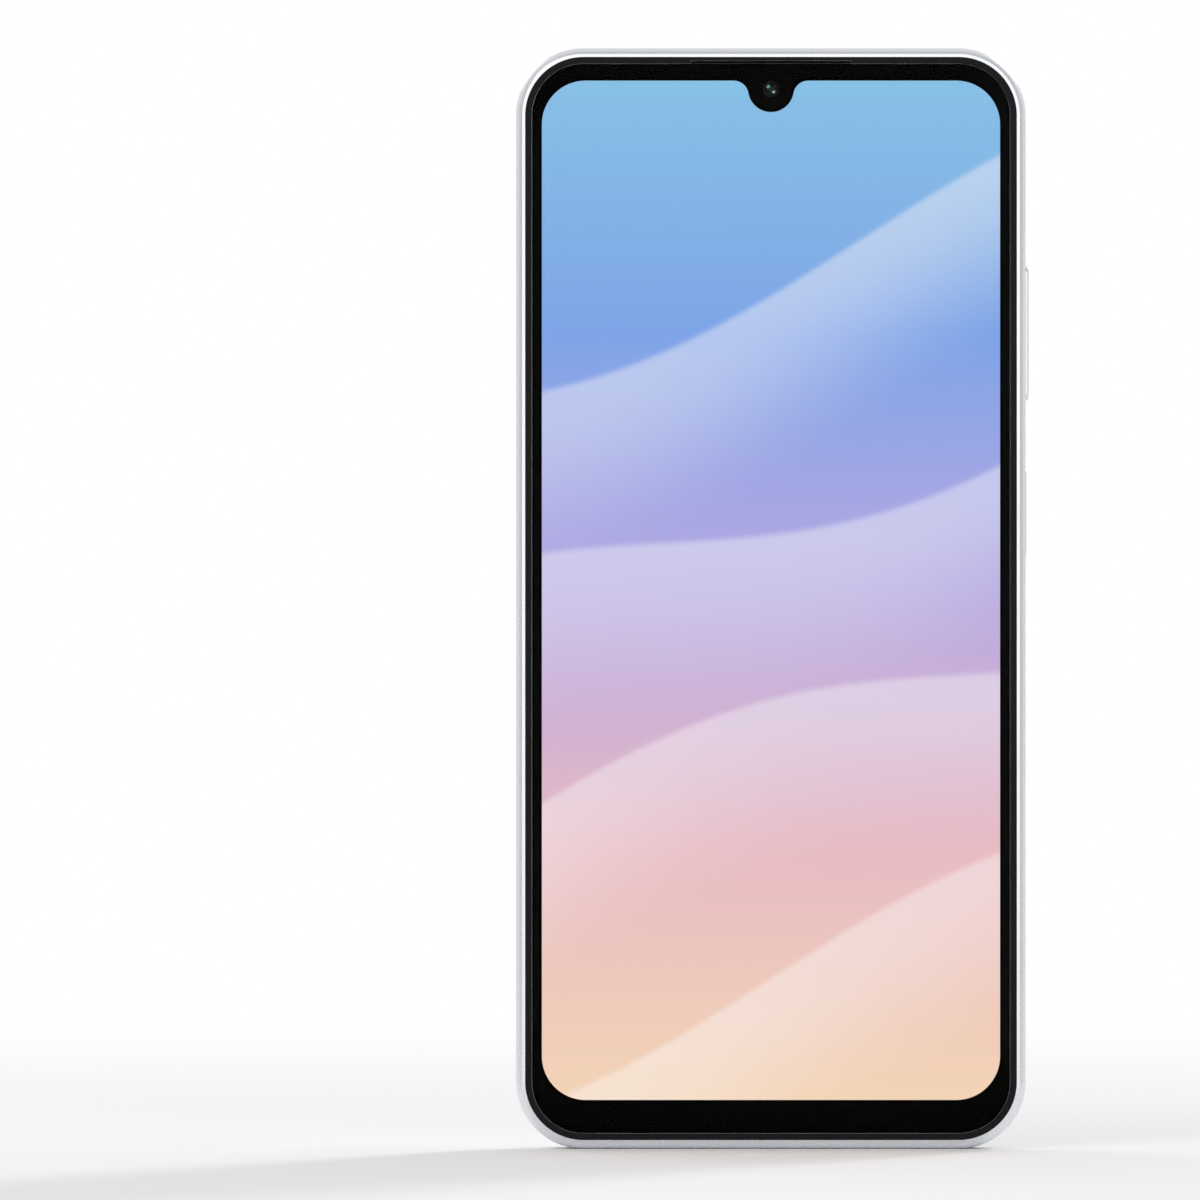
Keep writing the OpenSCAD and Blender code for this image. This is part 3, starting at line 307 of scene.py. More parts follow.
def combine(piece, others, operation, looks):
    """Cuts the others from a piece, or adds them to it, and removes them."""
    for look in looks:
        piece.data.materials.append(look)
    for other in others:
        step = piece.modifiers.new("combine", "BOOLEAN")
        step.operation = operation
        step.solver = "EXACT"
        step.object = other
    bpy.context.view_layer.update()
    shape = piece.evaluated_get(bpy.context.evaluated_depsgraph_get())
    mesh = bpy.data.meshes.new_from_object(shape)
    piece.modifiers.clear()
    old = piece.data
    piece.data = mesh
    mesh.name = piece.name
    mesh.materials.clear()
    bpy.data.meshes.remove(old)
    for other in others:
        waste = other.data
        bpy.data.objects.remove(other)
        bpy.data.meshes.remove(waste)


def smooth(piece, angle=32):
    """Smooth shading with sharp edges where the surface turns by more than the angle."""
    for polygon in piece.data.polygons:
        polygon.use_smooth = True
    piece.data.set_sharp_from_angle(angle=math.radians(angle))
    weigh = piece.modifiers.new("weigh", "WEIGHTED_NORMAL")
    weigh.keep_sharp = True


def finish_piece(piece, looks, body="body", replaces=(), angle=32):
    """Shades a piece, gives it its looks, sets what it rides on and hides the CAD nodes it replaces.
    """
    for look in looks:
        piece.data.materials.append(look)
    smooth(piece, angle)
    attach(piece, body)
    if replaces:
        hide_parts(*replaces)


def arc(centre, radius, start, end, steps):
    """Points of an arc between two angles in degrees."""
    points = []
    for step in range(steps + 1):
        angle = math.radians(start + (end - start) * step / steps)
        points.append((centre[0] + radius * math.cos(angle),
                       centre[1] + radius * math.sin(angle)))
    return points


# ---------------- shading

def srgb(code):
    """Linear colour of a six-digit code."""
    channels = [int(code[i:i + 2], 16) / 255 for i in (0, 2, 4)]
    linear = [c / 12.92 if c <= 0.04045 else ((c + 0.055) / 1.055) ** 2.4 for c in channels]
    return (*linear, 1.0)


class Nodes:
    """Adds and links the nodes of one tree."""

    def __init__(self, tree):
        self.tree = tree

    def add(self, kind, settings=None, inputs=None):
        node = self.tree.nodes.new("ShaderNode" + kind)
        for key, value in (settings or {}).items():
            setattr(node, key, value)
        for key, value in (inputs or {}).items():
            self.feed(node.inputs[key], value)
        return node

    def feed(self, socket, value):
        if isinstance(value, bpy.types.NodeSocket):
            self.tree.links.new(value, socket)
        else:
            socket.default_value = value

    def vector(self, operation, a, b):
        return self.add("VectorMath", {"operation": operation}, {0: a, 1: b}).outputs

    def math(self, operation, a, b=0.0, c=0.0):
        return self.add("Math", {"operation": operation}, {0: a, 1: b, 2: c}).outputs[0]

    def span(self, value, low, high, to_low=0.0, to_high=1.0, kind="SMOOTHSTEP"):
        """Maps a value from one range to another."""
        node = self.add("MapRange", {"interpolation_type": kind}, {
            "Value": value, "From Min": low, "From Max": high, "To Min": to_low,
            "To Max": to_high})
        return node.outputs["Result"]

    def mix(self, factor, a, b):
        return self.add("Mix", {"data_type": "RGBA"}, {0: factor, 6: a, 7: b}).outputs[2]

    def ramp(self, value, stops):
        """Colour ramp with (position, colour) stops."""
        node = self.add("ValToRGB", None, {"Fac": value})
        band = node.color_ramp.elements
        while len(band) < len(stops):
            band.new(0.5)
        for element, (position, colour) in zip(band, stops):
            element.position = position
            element.color = srgb(colour) if isinstance(colour, str) else colour
        return node.outputs["Color"]


class Look(Nodes):
    """One material: its Principled shader and the nodes that drive it."""

    def __init__(self, name, **constants):
        self.material = bpy.data.materials.new(name)
        self.material.use_nodes = True
        super().__init__(self.material.node_tree)
        self.shader = self.tree.nodes["Principled BSDF"]
        for socket, value in constants.items():
            self.shader.inputs[socket.replace("_", " ")].default_value = value
        self.coordinates = None

    def drive(self, socket, value):
        self.feed(self.shader.inputs[socket], value)

    def mm(self):
        """Place on the object in millimetres."""
        if self.coordinates is None:
            place = self.add("TexCoord").outputs["Object"]
            scaled = self.add("VectorMath", {"operation": "SCALE"}, {0: place, "Scale": 1 / MM})
            self.coordinates = scaled.outputs["Vector"]
        return self.coordinates

    def axes(self):
        """The three parts of the place on the object."""
        return self.add("SeparateXYZ", None, {0: self.mm()}).outputs

    def stretched(self, factors):
        """Place on the object with each direction scaled by its own factor."""
        return self.vector("MULTIPLY", self.mm(), factors)["Vector"]

    def reach(self, x, z):
        """Distance from a point in X and Z."""
        return self.vector("DISTANCE", self.stretched((1, 0, 1)), (x, 0, z))["Value"]

    def noise(self, scale, detail=3.0, factors=(1, 1, 1), distortion=0.0):
        node = self.add("TexNoise", None, {
            "Vector": self.stretched(factors), "Scale": scale, "Detail": detail,
            "Distortion": distortion})
        return node.outputs["Fac"]

    def cells(self, scale):
        """One random tone for each small cell."""
        node = self.add("TexVoronoi", None, {"Vector": self.stretched((1, 1, 1)), "Scale": scale})
        return self.add("SeparateColor", None, {0: node.outputs["Color"]}).outputs[0]

    def borders(self, scale):
        """Distance to the border of the nearest cell."""
        return self.add("TexVoronoi", {"feature": "DISTANCE_TO_EDGE"}, {
            "Vector": self.stretched((1, 1, 1)), "Scale": scale}).outputs["Distance"]

    def paint(self, factor, a, b):
        """Base colour between two colours."""
        self.drive("Base Color", self.mix(factor, a, b))

    def gloss(self, texture, low, high):
        """Roughness that follows a texture between two values."""
        self.drive("Roughness", self.span(texture, 0.3, 0.7, low, high))

    def bump(self, height, strength, distance):
        """Bumps the surface; distance is in millimetres."""
        node = self.add("Bump", None, {
            "Strength": strength, "Distance": distance * MM, "Height": height})
        self.drive("Normal", node.outputs["Normal"])


def grey(level, blue=0.0):
    return (level, level, level + blue, 1)


def tinted(colour, factor):
    return (*(c * factor for c in colour[:3]), 1.0)


GLOSS_SPREAD = 0.04


def plain_look(name, colour, roughness, grain, grain_depth=0.01, tint=0.12, **constants):
    """Surface with a fine grain, uneven gloss, faint mottling and handling marks."""
    look = Look(name, **constants)
    mottle = look.noise(0.12, 4.0)
    look.paint(mottle, tinted(colour, 1 - tint), tinted(colour, 1 + tint))
    fine = look.noise(grain)
    marks = look.span(look.noise(0.6, 6.0, (1, 1, 1), 1.2), 0.52, 0.7)
    uneven = look.span(fine, 0.3, 0.7, roughness - GLOSS_SPREAD, roughness + GLOSS_SPREAD)
    look.drive("Roughness", look.math("MULTIPLY_ADD", marks, GLOSS_SPREAD, uneven))
    look.bump(fine, 0.5, grain_depth)
    return look.material


# ---------------- silver paint

def silver_paint(name, colour, roughness, metallic):
    """Satin silver paint: fine flakes under a clear coat, with faint rubbing marks."""
    look = Look(name, Metallic=metallic, Coat_Weight=0.25, Coat_Roughness=0.12)
    tone = look.cells(9.0)
    base = look.mix(tone, tinted(colour, 0.98), tinted(colour, 1.02))
    haze = look.noise(0.05, 3.0)
    look.paint(look.span(haze, 0.3, 0.7), base, tinted(colour, 1.02))
    rubbed = look.span(look.noise(0.9, 5.0, (1, 1, 0.15), 0.6), 0.5, 0.72, 0.0, 0.07)
    grain = look.span(look.noise(7.0, 2.0), 0.3, 0.7, roughness - 0.03, roughness + 0.03)
    look.drive("Roughness", look.math("ADD", grain, rubbed))
    look.bump(tone, 0.1, 0.0003)
    return look.material


def cut_edge(name, dull, bright):
    """Machined edge with fine lines along it."""
    look = Look(name, Metallic=1.0)
    lines = look.noise(3.0, 3.0, (1, 12, 1))
    look.paint(lines, dull, bright)
    look.gloss(lines, 0.12, 0.24)
    look.bump(lines, 0.2, 0.002)
    return look.material


# ---------------- rear cover

def pearl_cover_with_painted_light():
    """Silver pearl film under a clear shell. Its colour is mostly painted reflection: soft streaks
    of painted light that fan out from the cameras, and a painted sheen across the cover that takes
    over towards the bottom.
    """
    look = Look("pearl_cover_with_painted_light", Metallic=0.35, Coat_Weight=0.4, Coat_Roughness=0.08)
    ray_x, ray_z = centre_of("camera_ring_mid")
    place = look.axes()
    across = look.math("SUBTRACT", ray_x, place["X"])
    up = look.math("SUBTRACT", place["Z"], ray_z)
    turn = look.math("ARCTAN2", up, across)
    wheel = look.math("ADD", look.math("DIVIDE", turn, 2 * math.pi), 0.5)
    # Painted reflections: lighter and darker streaks of painted light by angle round the middle
    # camera, fading into one flat pale tone close to it.
    painted_rays = look.ramp(wheel, (
        (0.00, "bcc0c8"), (0.05, "dfe3ec"), (0.13, "c6cad2"), (0.22, "bfc3ca"),
        (0.28, "d6dae2"), (0.335, "f6f9ff"), (0.40, "f0f3fb"), (0.44, "cbced6"),
        (0.48, "c1c4cb"), (0.525, "c0c3ca"), (0.55, "dcdfe6"), (0.575, "ebeef3"),
        (0.62, "d6d9e0"), (0.70, "c8cbd3"), (0.78, "d9dce4"), (0.86, "f2f5fc"),
        (0.92, "eef1f8"), (0.96, "c8ccd4"), (1.00, "bcc0c8")))
    reach = look.reach(ray_x, ray_z)
    painted_rays = look.mix(look.span(reach, 4.0, 14.0, 0.8, 0.0), painted_rays, srgb("dde0e7"))
    # Painted sheen: lighter towards -X and darker towards +X, as light falls across the cover; it
    # replaces the streaks towards the bottom.
    side = look.span(place["X"], HALF_W, -HALF_W, kind="LINEAR")
    painted_side_sheen = look.ramp(side, (
        (0.0, "c2c5cb"), (0.14, "cacdd4"), (0.27, "d0d3d9"), (0.40, "d9dce3"),
        (0.53, "e4e7ee"), (0.70, "edf0f7"), (0.88, "eff2f9"), (1.0, "dcdfe6")))
    low = look.span(up, -18.0, -75.0, kind="SMOOTHERSTEP")
    base = look.mix(low, painted_rays, painted_side_sheen)
    weave = look.noise(5.0, 2.0, (1, 1, 0.2))
    base = look.mix(look.math("MULTIPLY", look.cells(11.0), 0.05), base, srgb("ffffff"))
    look.drive("Base Color", base)
    smears = look.span(look.noise(0.06, 5.0, (1, 1, 1), 1.5), 0.5, 0.75, 0.0, 0.05)
    look.drive("Roughness", look.math("ADD", look.span(weave, 0.3, 0.7, 0.28, 0.32), smears))
    look.bump(weave, 0.1, 0.0008)
    return look.material


# ---------------- lit screen

# Colours of the plain screen picture, from the bottom up
SCREEN_COLOURS = ("f2d3b4", "e6b9c2", "b3a6e0", "7ba2e6", "86bfe4")
FOLD_COUNT = 4
FOLD_LOW = 26.0
FOLD_STEP = 36.0
FOLD_HEIGHT = 7.0
FOLD_LENGTH = 150.0
FOLD_TURN = 1.9
FOLD_SLOPE = 0.35
FOLD_DEPTH = 30.0
FOLD_EDGE = 0.8
FOLD_LIGHT = 0.32


def fold_of_light(look, picture, x, z, index):
    """Lays one wide fold over the picture: bright along a wavy upper edge, fading downwards."""
    turn = look.math("ADD", look.math("MULTIPLY", x, math.tau / FOLD_LENGTH), index * FOLD_TURN)
    wave = look.math("MULTIPLY", look.math("SINE", turn), FOLD_HEIGHT)
    slope = look.math("MULTIPLY", x, FOLD_SLOPE)
    line = look.math("ADD", look.math("ADD", wave, slope), FOLD_LOW + index * FOLD_STEP)
    above = look.math("SUBTRACT", z, line)
    below_edge = look.span(above, -FOLD_EDGE, FOLD_EDGE, 1.0, 0.0)
    amount = look.math("MULTIPLY", look.span(above, -FOLD_DEPTH, 0.0, 0.0, FOLD_LIGHT), below_edge)
    return look.mix(amount, picture, srgb("ffffff"))


def lit_display():
    """Lit screen with a plain picture: an upright gradient crossed by wide folds of light."""
    look = Look("lit_display", Base_Color=(0, 0, 0, 1), Roughness=0.4, Specular_IOR_Level=0.05)
    place = look.axes()
    last = len(SCREEN_COLOURS) - 1
    stops = [(i / last, code) for i, code in enumerate(SCREEN_COLOURS)]
    rise = look.span(place["Z"], SCREEN_LOW, SCREEN_HIGH, kind="LINEAR")
    picture = look.ramp(rise, stops)
    for index in range(FOLD_COUNT):
        picture = fold_of_light(look, picture, place["X"], place["Z"], index)
    look.drive("Emission Color", picture)
    look.shader.inputs["Emission Strength"].default_value = 1.0
    return look.material


# ---------------- black parts and glass

def gloss_black(name, level, roughness, coat, gloss=0.5):
    """Enamel or ink with faint clouds and wipe marks."""
    look = Look(name, Coat_Weight=coat, Coat_Roughness=0.04, Specular_IOR_Level=gloss)
    cloud = look.noise(0.15, 4.0)
    look.paint(cloud, grey(level * 0.8, level * 0.05), grey(level * 1.2, level * 0.05))
    marks = look.span(look.noise(0.8, 6.0, (1, 1, 1), 1.0), 0.5, 0.7, 0.0, 0.06)
    look.drive("Roughness", look.math("ADD", marks, roughness))
    look.bump(look.noise(2.0, 2.0), 0.1, 0.0004)
    return look.material


def clear_glass(name, tint):
    """Polished glass with faint smears on its surface; its low index keeps reflections faint."""
    look = Look(name, Base_Color=tint, Transmission_Weight=1.0, IOR=1.12)
    smears = look.span(look.noise(0.05, 6.0, (1, 1, 0.6), 1.4), 0.5, 0.8, 0.0, 0.03)
    look.drive("Roughness", smears)
    return look.material


def lens_with_painted_highlights(name, centre, radius, upper, lower, sizes=(0.62, 0.48),
                spread=(0.38, 0.34), haze=0.35, coat=0.8):
    """Dark lens with two soft spots of painted highlight in its colour, one above and one below, and
    a painted sheen towards its edge.
    """
    look = Look(name, Coat_Weight=coat, Coat_Roughness=0.02, Specular_IOR_Level=coat / 2)
    base = LENS_DEEP
    # Painted highlights: two soft spots in the upper and the lower colour, laid into the lens's dark
    # colour.
    for side, size, colour in ((1, sizes[0], upper), (-1, sizes[1], lower)):
        off = look.reach(centre[0] + side * radius * centre[2] * spread[0],
                         centre[1] + side * radius * spread[1])
        base = look.mix(look.span(off, radius * size * 0.2, radius * size, 1.0, 0.0), base, colour)
    # Painted sheen: where the surface turns away, its colour shifts towards the upper highlight
    # colour.
    facing = look.add("LayerWeight", None, {"Blend": 0.3}).outputs["Facing"]
    look.paint(look.math("MULTIPLY", facing, haze), base, upper)
    look.gloss(look.noise(4.0), 0.05, 0.10)
    return look.material


def window_ink_with_painted_sheen(name, x, z):
    """Black print under a camera window, with a painted sheen that makes it a little lighter towards
    its upper outer side.
    """
    look = Look(name, Specular_IOR_Level=0.05)
    # Painted reflection: the print's colour is lighter near a point above and outside the lens.
    sheen = look.span(look.reach(x + 3.2, z + 3.6), 0.0, 6.0, 1.0, 0.0)
    look.paint(sheen, grey(0.0025, 0.0002), grey(0.02))
    look.gloss(look.noise(4.0), 0.32, 0.4)
    return look.material


def woven_mesh():
    """Fine acoustic mesh: dark threads with gaps between them."""
    look = Look("woven_mesh", Specular_IOR_Level=0.05)
    holes = look.span(look.borders(6.0), 0.05, 0.22)
    look.paint(holes, grey(0.006), grey(0.001))
    look.gloss(look.noise(5.0), 0.5, 0.7)
    look.bump(holes, 0.8, 0.05)
    return look.material


def flash_glass():
    """Ribbed flash lens over a yellow-green emitter."""
    look = Look("flash_glass", Coat_Weight=0.6, IOR=1.4)
    x, z = centre_of("flash_lens")
    place = look.axes()
    off_x = look.math("SUBTRACT", place["X"], x)
    off_z = look.math("SUBTRACT", place["Z"], z)
    lean = look.math("ABSOLUTE", look.math("ADD", look.math("MULTIPLY", off_z, 0.5), off_x))
    band = look.span(lean, 0.0, 1.2, 1.0, 0.0)
    ribs = look.math("SINE", look.math("MULTIPLY", look.reach(x, z), 22.0))
    glow = look.mix(band, srgb("efefec"), srgb("eceec6"))
    look.paint(look.math("MULTIPLY", ribs, 0.03), glow, srgb("c4c6c0"))
    look.gloss(look.noise(3.0), 0.2, 0.3)
    look.bump(ribs, 0.1, 0.002)
    return look.material


def board_mask():
    """Solder mask with copper tracks under it."""
    look = Look("board_mask", Coat_Weight=0.3)
    copper = look.span(look.borders(0.6), 0.02, 0.06, 1.0, 0.0)
    look.paint(copper, (0.01, 0.07, 0.04, 1), (0.03, 0.14, 0.06, 1))
    look.gloss(look.noise(2.0), 0.3, 0.42)
    look.bump(copper, 0.4, 0.03)
    return look.material


def brushed(name, colour, roughness, lines=(1, 1, 14)):
    """Sheet metal with fine lines from rolling."""
    look = Look(name, Metallic=1.0)
    scratch = look.noise(2.5, 4.0, lines)
    look.paint(scratch, tinted(colour, 0.86), tinted(colour, 1.08))
    look.gloss(scratch, roughness - 0.06, roughness + 0.1)
    look.bump(scratch, 0.3, 0.004)
    return look.material


SILVER = srgb("e3e5e9")
FRAME_PAINT = silver_paint("frame_paint", SILVER, 0.28, 0.75)
EDGE_CUT = cut_edge("edge_cut", srgb("f0f2f4"), srgb("ffffff"))
RING_CUT = cut_edge("ring_cut", grey(0.42, 0.01), grey(0.52, 0.01))
KEY_PAINT = silver_paint("key_paint", srgb("e4e6ea"), 0.26, 0.75)
TRAY_PAINT = silver_paint("tray_paint", srgb("e1e3e7"), 0.3, 0.75)
BEZEL_BLACK = plain_look("bezel_plastic", grey(0.005, 0.001), 0.34, 8.0,
                         grain_depth=0.003, Specular_IOR_Level=0.1)
INK_BLACK = gloss_black("border_ink", 0.005, 0.35, 0.0, 0.05)
RING_BLACK = gloss_black("ring_enamel", 0.0015, 0.14, 0.0, 0.12)
COVER_GLASS = clear_glass("cover_glass_clear", (1, 1, 1, 1))
WINDOW_GLASS = clear_glass("window_glass_clear", (0.94, 0.96, 0.97, 1))
BARREL_GREY = plain_look("barrel_plastic", grey(0.016, 0.001), 0.42, 9.0,
                         Specular_IOR_Level=0.3)
FLASH_RIM = plain_look("flash_rim", grey(0.36), 0.35, 8.0)
CLOTH_BLACK = plain_look("acoustic_cloth", grey(0.002), 0.7, 12.0,
                         Specular_IOR_Level=0.06)
LENS_DEEP = (0.003, 0.006, 0.006, 1)
# Colours of the painted highlights and glints on the lenses.
BRIGHT_TEAL_HIGHLIGHT = srgb("74ccb8")
BRIGHT_MINT_HIGHLIGHT = srgb("cfe9e2")
TEAL_HIGHLIGHT = srgb("3f9c88")
PALE_TEAL_HIGHLIGHT = srgb("8fc4b8")
GREY_GLINT = srgb("4a4c50")
PALE_GLINT = srgb("c8ccd0")
PORT_STEEL = brushed("port_steel", (0.55, 0.56, 0.58, 1), 0.25)
PORT_BLACK = plain_look("port_plastic", grey(0.012, 0.001), 0.4, 8.0)
GOLD = brushed("contact_gold", (0.80, 0.58, 0.22, 1), 0.22, (4, 4, 4))

LOOKS = {
    "frame_silver": FRAME_PAINT,
    "plate_metal": brushed("plate_metal", (0.52, 0.53, 0.55, 1), 0.42, (3, 3, 3)),
    "cover_silver": pearl_cover_with_painted_light(),
    "inner_plastic": plain_look("inner_plastic", grey(0.018, 0.002), 0.5, 4.0,
                                grain_depth=0.03),
    "screw_steel": brushed("screw_steel", (0.45, 0.46, 0.48, 1), 0.3, (6, 6, 6)),
    "bezel_black": BEZEL_BLACK,
    "cover_glass": COVER_GLASS,
    "border_ink": INK_BLACK,
    "display_cell": lit_display(),
    "backlight_white": plain_look("backlight_film", (0.8, 0.82, 0.84, 1), 0.4, 10.0),
    "flex_amber": plain_look("polyimide", (0.36, 0.14, 0.02, 1), 0.3, 1.5, tint=0.2,
                             Coat_Weight=0.4),
    "adhesive_black": plain_look("foam_tape", grey(0.012), 0.8, 3.0,
                                 grain_depth=0.04),
    "camera_black": plain_look("camera_housing", grey(0.010, 0.001), 0.38, 7.0),
    "lens_glass": gloss_black("lens_core", 0.008, 0.06, 1.0),
    "shield_steel": brushed("shield_steel", (0.58, 0.58, 0.56, 1), 0.32),
    "mesh_dark": woven_mesh(),
    "board_green": board_mask(),
    "chip_black": plain_look("chip_package", grey(0.012, 0.001), 0.55, 9.0),
    "tray_silver": TRAY_PAINT,
    "gasket_red": plain_look("silicone", (0.24, 0.012, 0.008, 1), 0.55, 5.0,
                             Subsurface_Weight=0.05),
    "port_steel": PORT_STEEL,
    "port_black": PORT_BLACK,
    "contact_gold": GOLD,
    "cable_grey": plain_look("cable_jacket", grey(0.02, 0.002), 0.45, 6.0),
    "battery_wrap": plain_look("battery_wrap", grey(0.014, 0.002), 0.42, 1.2,
                               grain_depth=0.05),
    "adhesive_white": plain_look("stretch_tape", (0.7, 0.7, 0.66, 1), 0.6, 3.0),
    "rotor_metal": brushed("sintered_weight", (0.3, 0.28, 0.25, 1), 0.45, (2, 2, 2)),
    "magnet_steel": brushed("yoke_steel", grey(0.5, 0.02), 0.28, (5, 5, 5)),
    "cone_black": plain_look("cone_film", grey(0.015, 0.001), 0.35, 2.0),
    "barrel_grey": BARREL_GREY,
    "ring_black": RING_BLACK,
    "window_glass": WINDOW_GLASS,
    "flash_clear": flash_glass(),
    "led_yellow": plain_look("phosphor", (0.85, 0.68, 0.12, 1), 0.5, 8.0),
    "key_silver": KEY_PAINT,
    "sensor_silver": silver_paint("sensor_coat", srgb("c9ccd1"), 0.2, 0.7),
}


def dress_cad_nodes():
    """Gives every CAD node the look of its record slot."""
    slots = {part["node"]: part["material_slot"] for part in frame["record"]["subparts"]}
    for name, node in frame["nodes"].items():
        for holder in node.material_slots:
            holder.material = LOOKS[slots[name]]


# ---------------- side frame

def shoulder(inset, depth):
    """Section points from the flat band to an inset and a depth."""
    points = []
    end = math.radians(SHOULDER_SWEEP)
    for step in range(SHOULDER_STEPS + 1):
        angle = end * step / SHOULDER_STEPS
        points.append((inset * (1 - math.cos(angle)) / (1 - math.cos(end)),
                       FLAT_HALF + (depth - FLAT_HALF) * math.sin(angle) / math.sin(end)))
    return points


def flared(start, end, mouth, flare):
    """Sections of a cutter that widens towards its mouth, from inside to outside."""
    way = 1 if mouth > start else -1
    return [(start, 0.0), (mouth - way * flare, 0.0), (mouth, 2 * flare), (end, 2 * flare)]


def bottom_hole(name, x, y, length, width, flare=MOUTH_FLARE):
    """Cutter through the bottom edge."""
    return end_slot(name, flared(INSIDE, -PAST, 0, flare), x, y, length, width)


def key_length(node):
    """Length of a key's cap, without its hidden flange."""
    low, high = box(node)
    return high.z - low.z - KEY_FLANGE_OVER


def bottom_cutters():
    """Cutters for the port, the jack, the microphone and the loudspeaker."""
    low, high = box("usb_c_shell")
    jack_x, jack_y, _ = middle_of("headphone_jack")
    cutters = [
        bottom_hole("usb_cut", 0, 0, high.x - low.x + 2 * SEAM, high.y - low.y + 2 * SEAM,
                    PORT_FLARE),
        bottom_hole("jack_cut", jack_x, jack_y, JACK_D + ROUND_OFF, JACK_D, JACK_FLARE),
        bottom_hole("mic_cut", MIC_X, 0, MIC_D + ROUND_OFF, MIC_D),
        end_slot("top_mic_cut", flared(HEIGHT - INSIDE, HEIGHT + PAST, HEIGHT, MOUTH_FLARE),
                 TOP_MIC_X, 0, MIC_D + ROUND_OFF, MIC_D),
    ]
    for i in range(SOUND_SLOTS):
        cutters.append(bottom_hole("speaker_cut", SOUND_X + SOUND_PITCH * i, 0, SOUND_L, SOUND_W))
    return cutters


def key_cutters():
    """Cutters for both keys, and for the recess round the power key."""
    cutters = []
    way_in = flared(HALF_W - INSIDE, HALF_W + PAST, HALF_W, MOUTH_FLARE)
    for node in ("volume_key", "power_key"):
        cutters.append(side_slot(node + "_cut", way_in, 0, centre_of(node)[1],
                                 key_length(node) + 2 * PLAY, KEY_W + 2 * PLAY))
    recess = [(HALF_W - RECESS_DEPTH, -0.3), (HALF_W, 0.1), (HALF_W + PAST, 0.1)]
    cutters.append(side_slot("power_recess", recess, 0, centre_of("power_key")[1],
                             key_length("power_key") + RECESS_OVER, RECESS_W))
    return cutters


def tray_cutters():
    """Cutters for the tray's outer plate and for its blade."""
    _, y, z = middle_of("card_tray")
    mouth = flared(TRAY_CUT_DEPTH - HALF_W, -HALF_W - PAST, -HALF_W, TRAY_FLARE)
    half_t = BLADE_HALF_T + BLADE_PLAY
    half_l = BLADE_HALF_L + BLADE_PLAY
    return [side_slot("tray_cut", mouth, y, z, TRAY_CUT_L, TRAY_CUT_W),
            block("blade_cut", (-HALF_W + 0.5, y - half_t, z - half_l),
                  (-HALF_W + INSIDE, y + half_t, z + half_l))]


def build_side_frame():
    """Band with rounded shoulders, a bright cut edge front and rear, and its openings."""
    front = [(i, -d) for i, d in shoulder(BEZEL_INSET - FRONT_CHAMFER,
                                          -FRAME_LOW.y - CHAMFER_RISE)]
    rear = shoulder(REAR_INSET - REAR_CHAMFER, FRAME_HIGH.y - CHAMFER_RISE)
    shelf = BEZEL_HIGH.y
    inner = [(BEZEL_INSET, FRAME_LOW.y), (BEZEL_INSET, shelf), (WALL, shelf), (WALL, LEDGE_Y),
             (REAR_INSET, LEDGE_Y), (REAR_INSET, FRAME_HIGH.y)]
    section = front + inner + rear[::-1]
    looks = [0] * len(section)
    looks[len(front) - 1] = 1
    looks[len(front) + len(inner) - 1] = 1
    piece = round_the_edge("frame_band", section, True, looks)
    cutters = bottom_cutters() + key_cutters() + tray_cutters()
    combine(piece, cutters, "DIFFERENCE", (FRAME_PAINT, EDGE_CUT))
    finish_piece(piece, (FRAME_PAINT, EDGE_CUT), replaces=("side_frame",),
                 angle=9)


# ---------------- front: glass, rim and border

# How far in from the glass's edge, and how deep under its face, its rounding runs
GLASS_ROUNDING = ((1.3, 0.0), (0.7, 0.004), (0.40, 0.022), (0.20, 0.06), (0.08, 0.12),
                  (0.02, 0.19), (0.0, 0.27))
GLASS_BACK_BEVEL = 0.06


def build_cover_glass():
    """Flat glass whose front edge rounds off and whose back edge is bevelled."""
    section = [(GLASS_INSET + side, FRONT_Y + depth) for side, depth in GLASS_ROUNDING]
    section += [(GLASS_INSET, GLASS_HIGH.y - GLASS_BACK_BEVEL),
                (GLASS_INSET + GLASS_BACK_BEVEL, GLASS_HIGH.y)]
    piece = round_the_edge("front_glass", section, False)
    finish_piece(piece, (COVER_GLASS,), replaces=("cover_glass",))


def build_bezel():
    """Thin rim with both of its front edges rounded, cut open for the earpiece."""
    top = BEZEL_LOW.y
    outer = BEZEL_INSET
    inner = GLASS_INSET - SEAM
    section = [(outer, BEZEL_HIGH.y), (outer, top + 0.12), (outer + 0.03, top + 0.05),
               (outer + 0.1, top), (inner - 0.16, top), (inner - 0.05, top + 0.04),
               (inner, top + 0.13), (inner, BEZEL_HIGH.y)]
    piece = round_the_edge("front_rim", section)
    slot_high = HEIGHT - BEZEL_INSET - EARPIECE_DROP
    slot = block("earpiece_cut", (-EARPIECE_HALF, top - PAST, HEIGHT - GLASS_INSET - 0.5),
                 (EARPIECE_HALF, BEZEL_HIGH.y + PAST, slot_high))
    combine(piece, [slot], "DIFFERENCE", (BEZEL_BLACK,))
    finish_piece(piece, (BEZEL_BLACK,), replaces=("display_bezel",))


def screen_loop():
    """Outline of the lit screen, with the notch in its top edge."""
    flare_z = SCREEN_HIGH - FLARE_R
    flare_x = math.sqrt((NOTCH_R + FLARE_R) ** 2 - (flare_z - NOTCH_Z) ** 2)
    lean = math.degrees(math.asin((NOTCH_Z - flare_z) / (NOTCH_R + FLARE_R)))
    half, low, high, r = SCREEN_HALF, SCREEN_LOW, SCREEN_HIGH, SCREEN_R
    points = arc((half - r, high - r), r, 0, 90, 24)
    points += arc((flare_x, flare_z), FLARE_R, 90, 180 - lean, 16)
    points += arc((0, NOTCH_Z), NOTCH_R, -lean, lean - 180, 40)[1:-1]
    points += arc((-flare_x, flare_z), FLARE_R, lean, 90, 16)
    points += arc((r - half, high - r), r, 90, 180, 24)
    points += arc((r - half, low + r), r, 180, 270, 24)
    points += arc((half - r, low + r), r, 270, 360, 24)
    return points


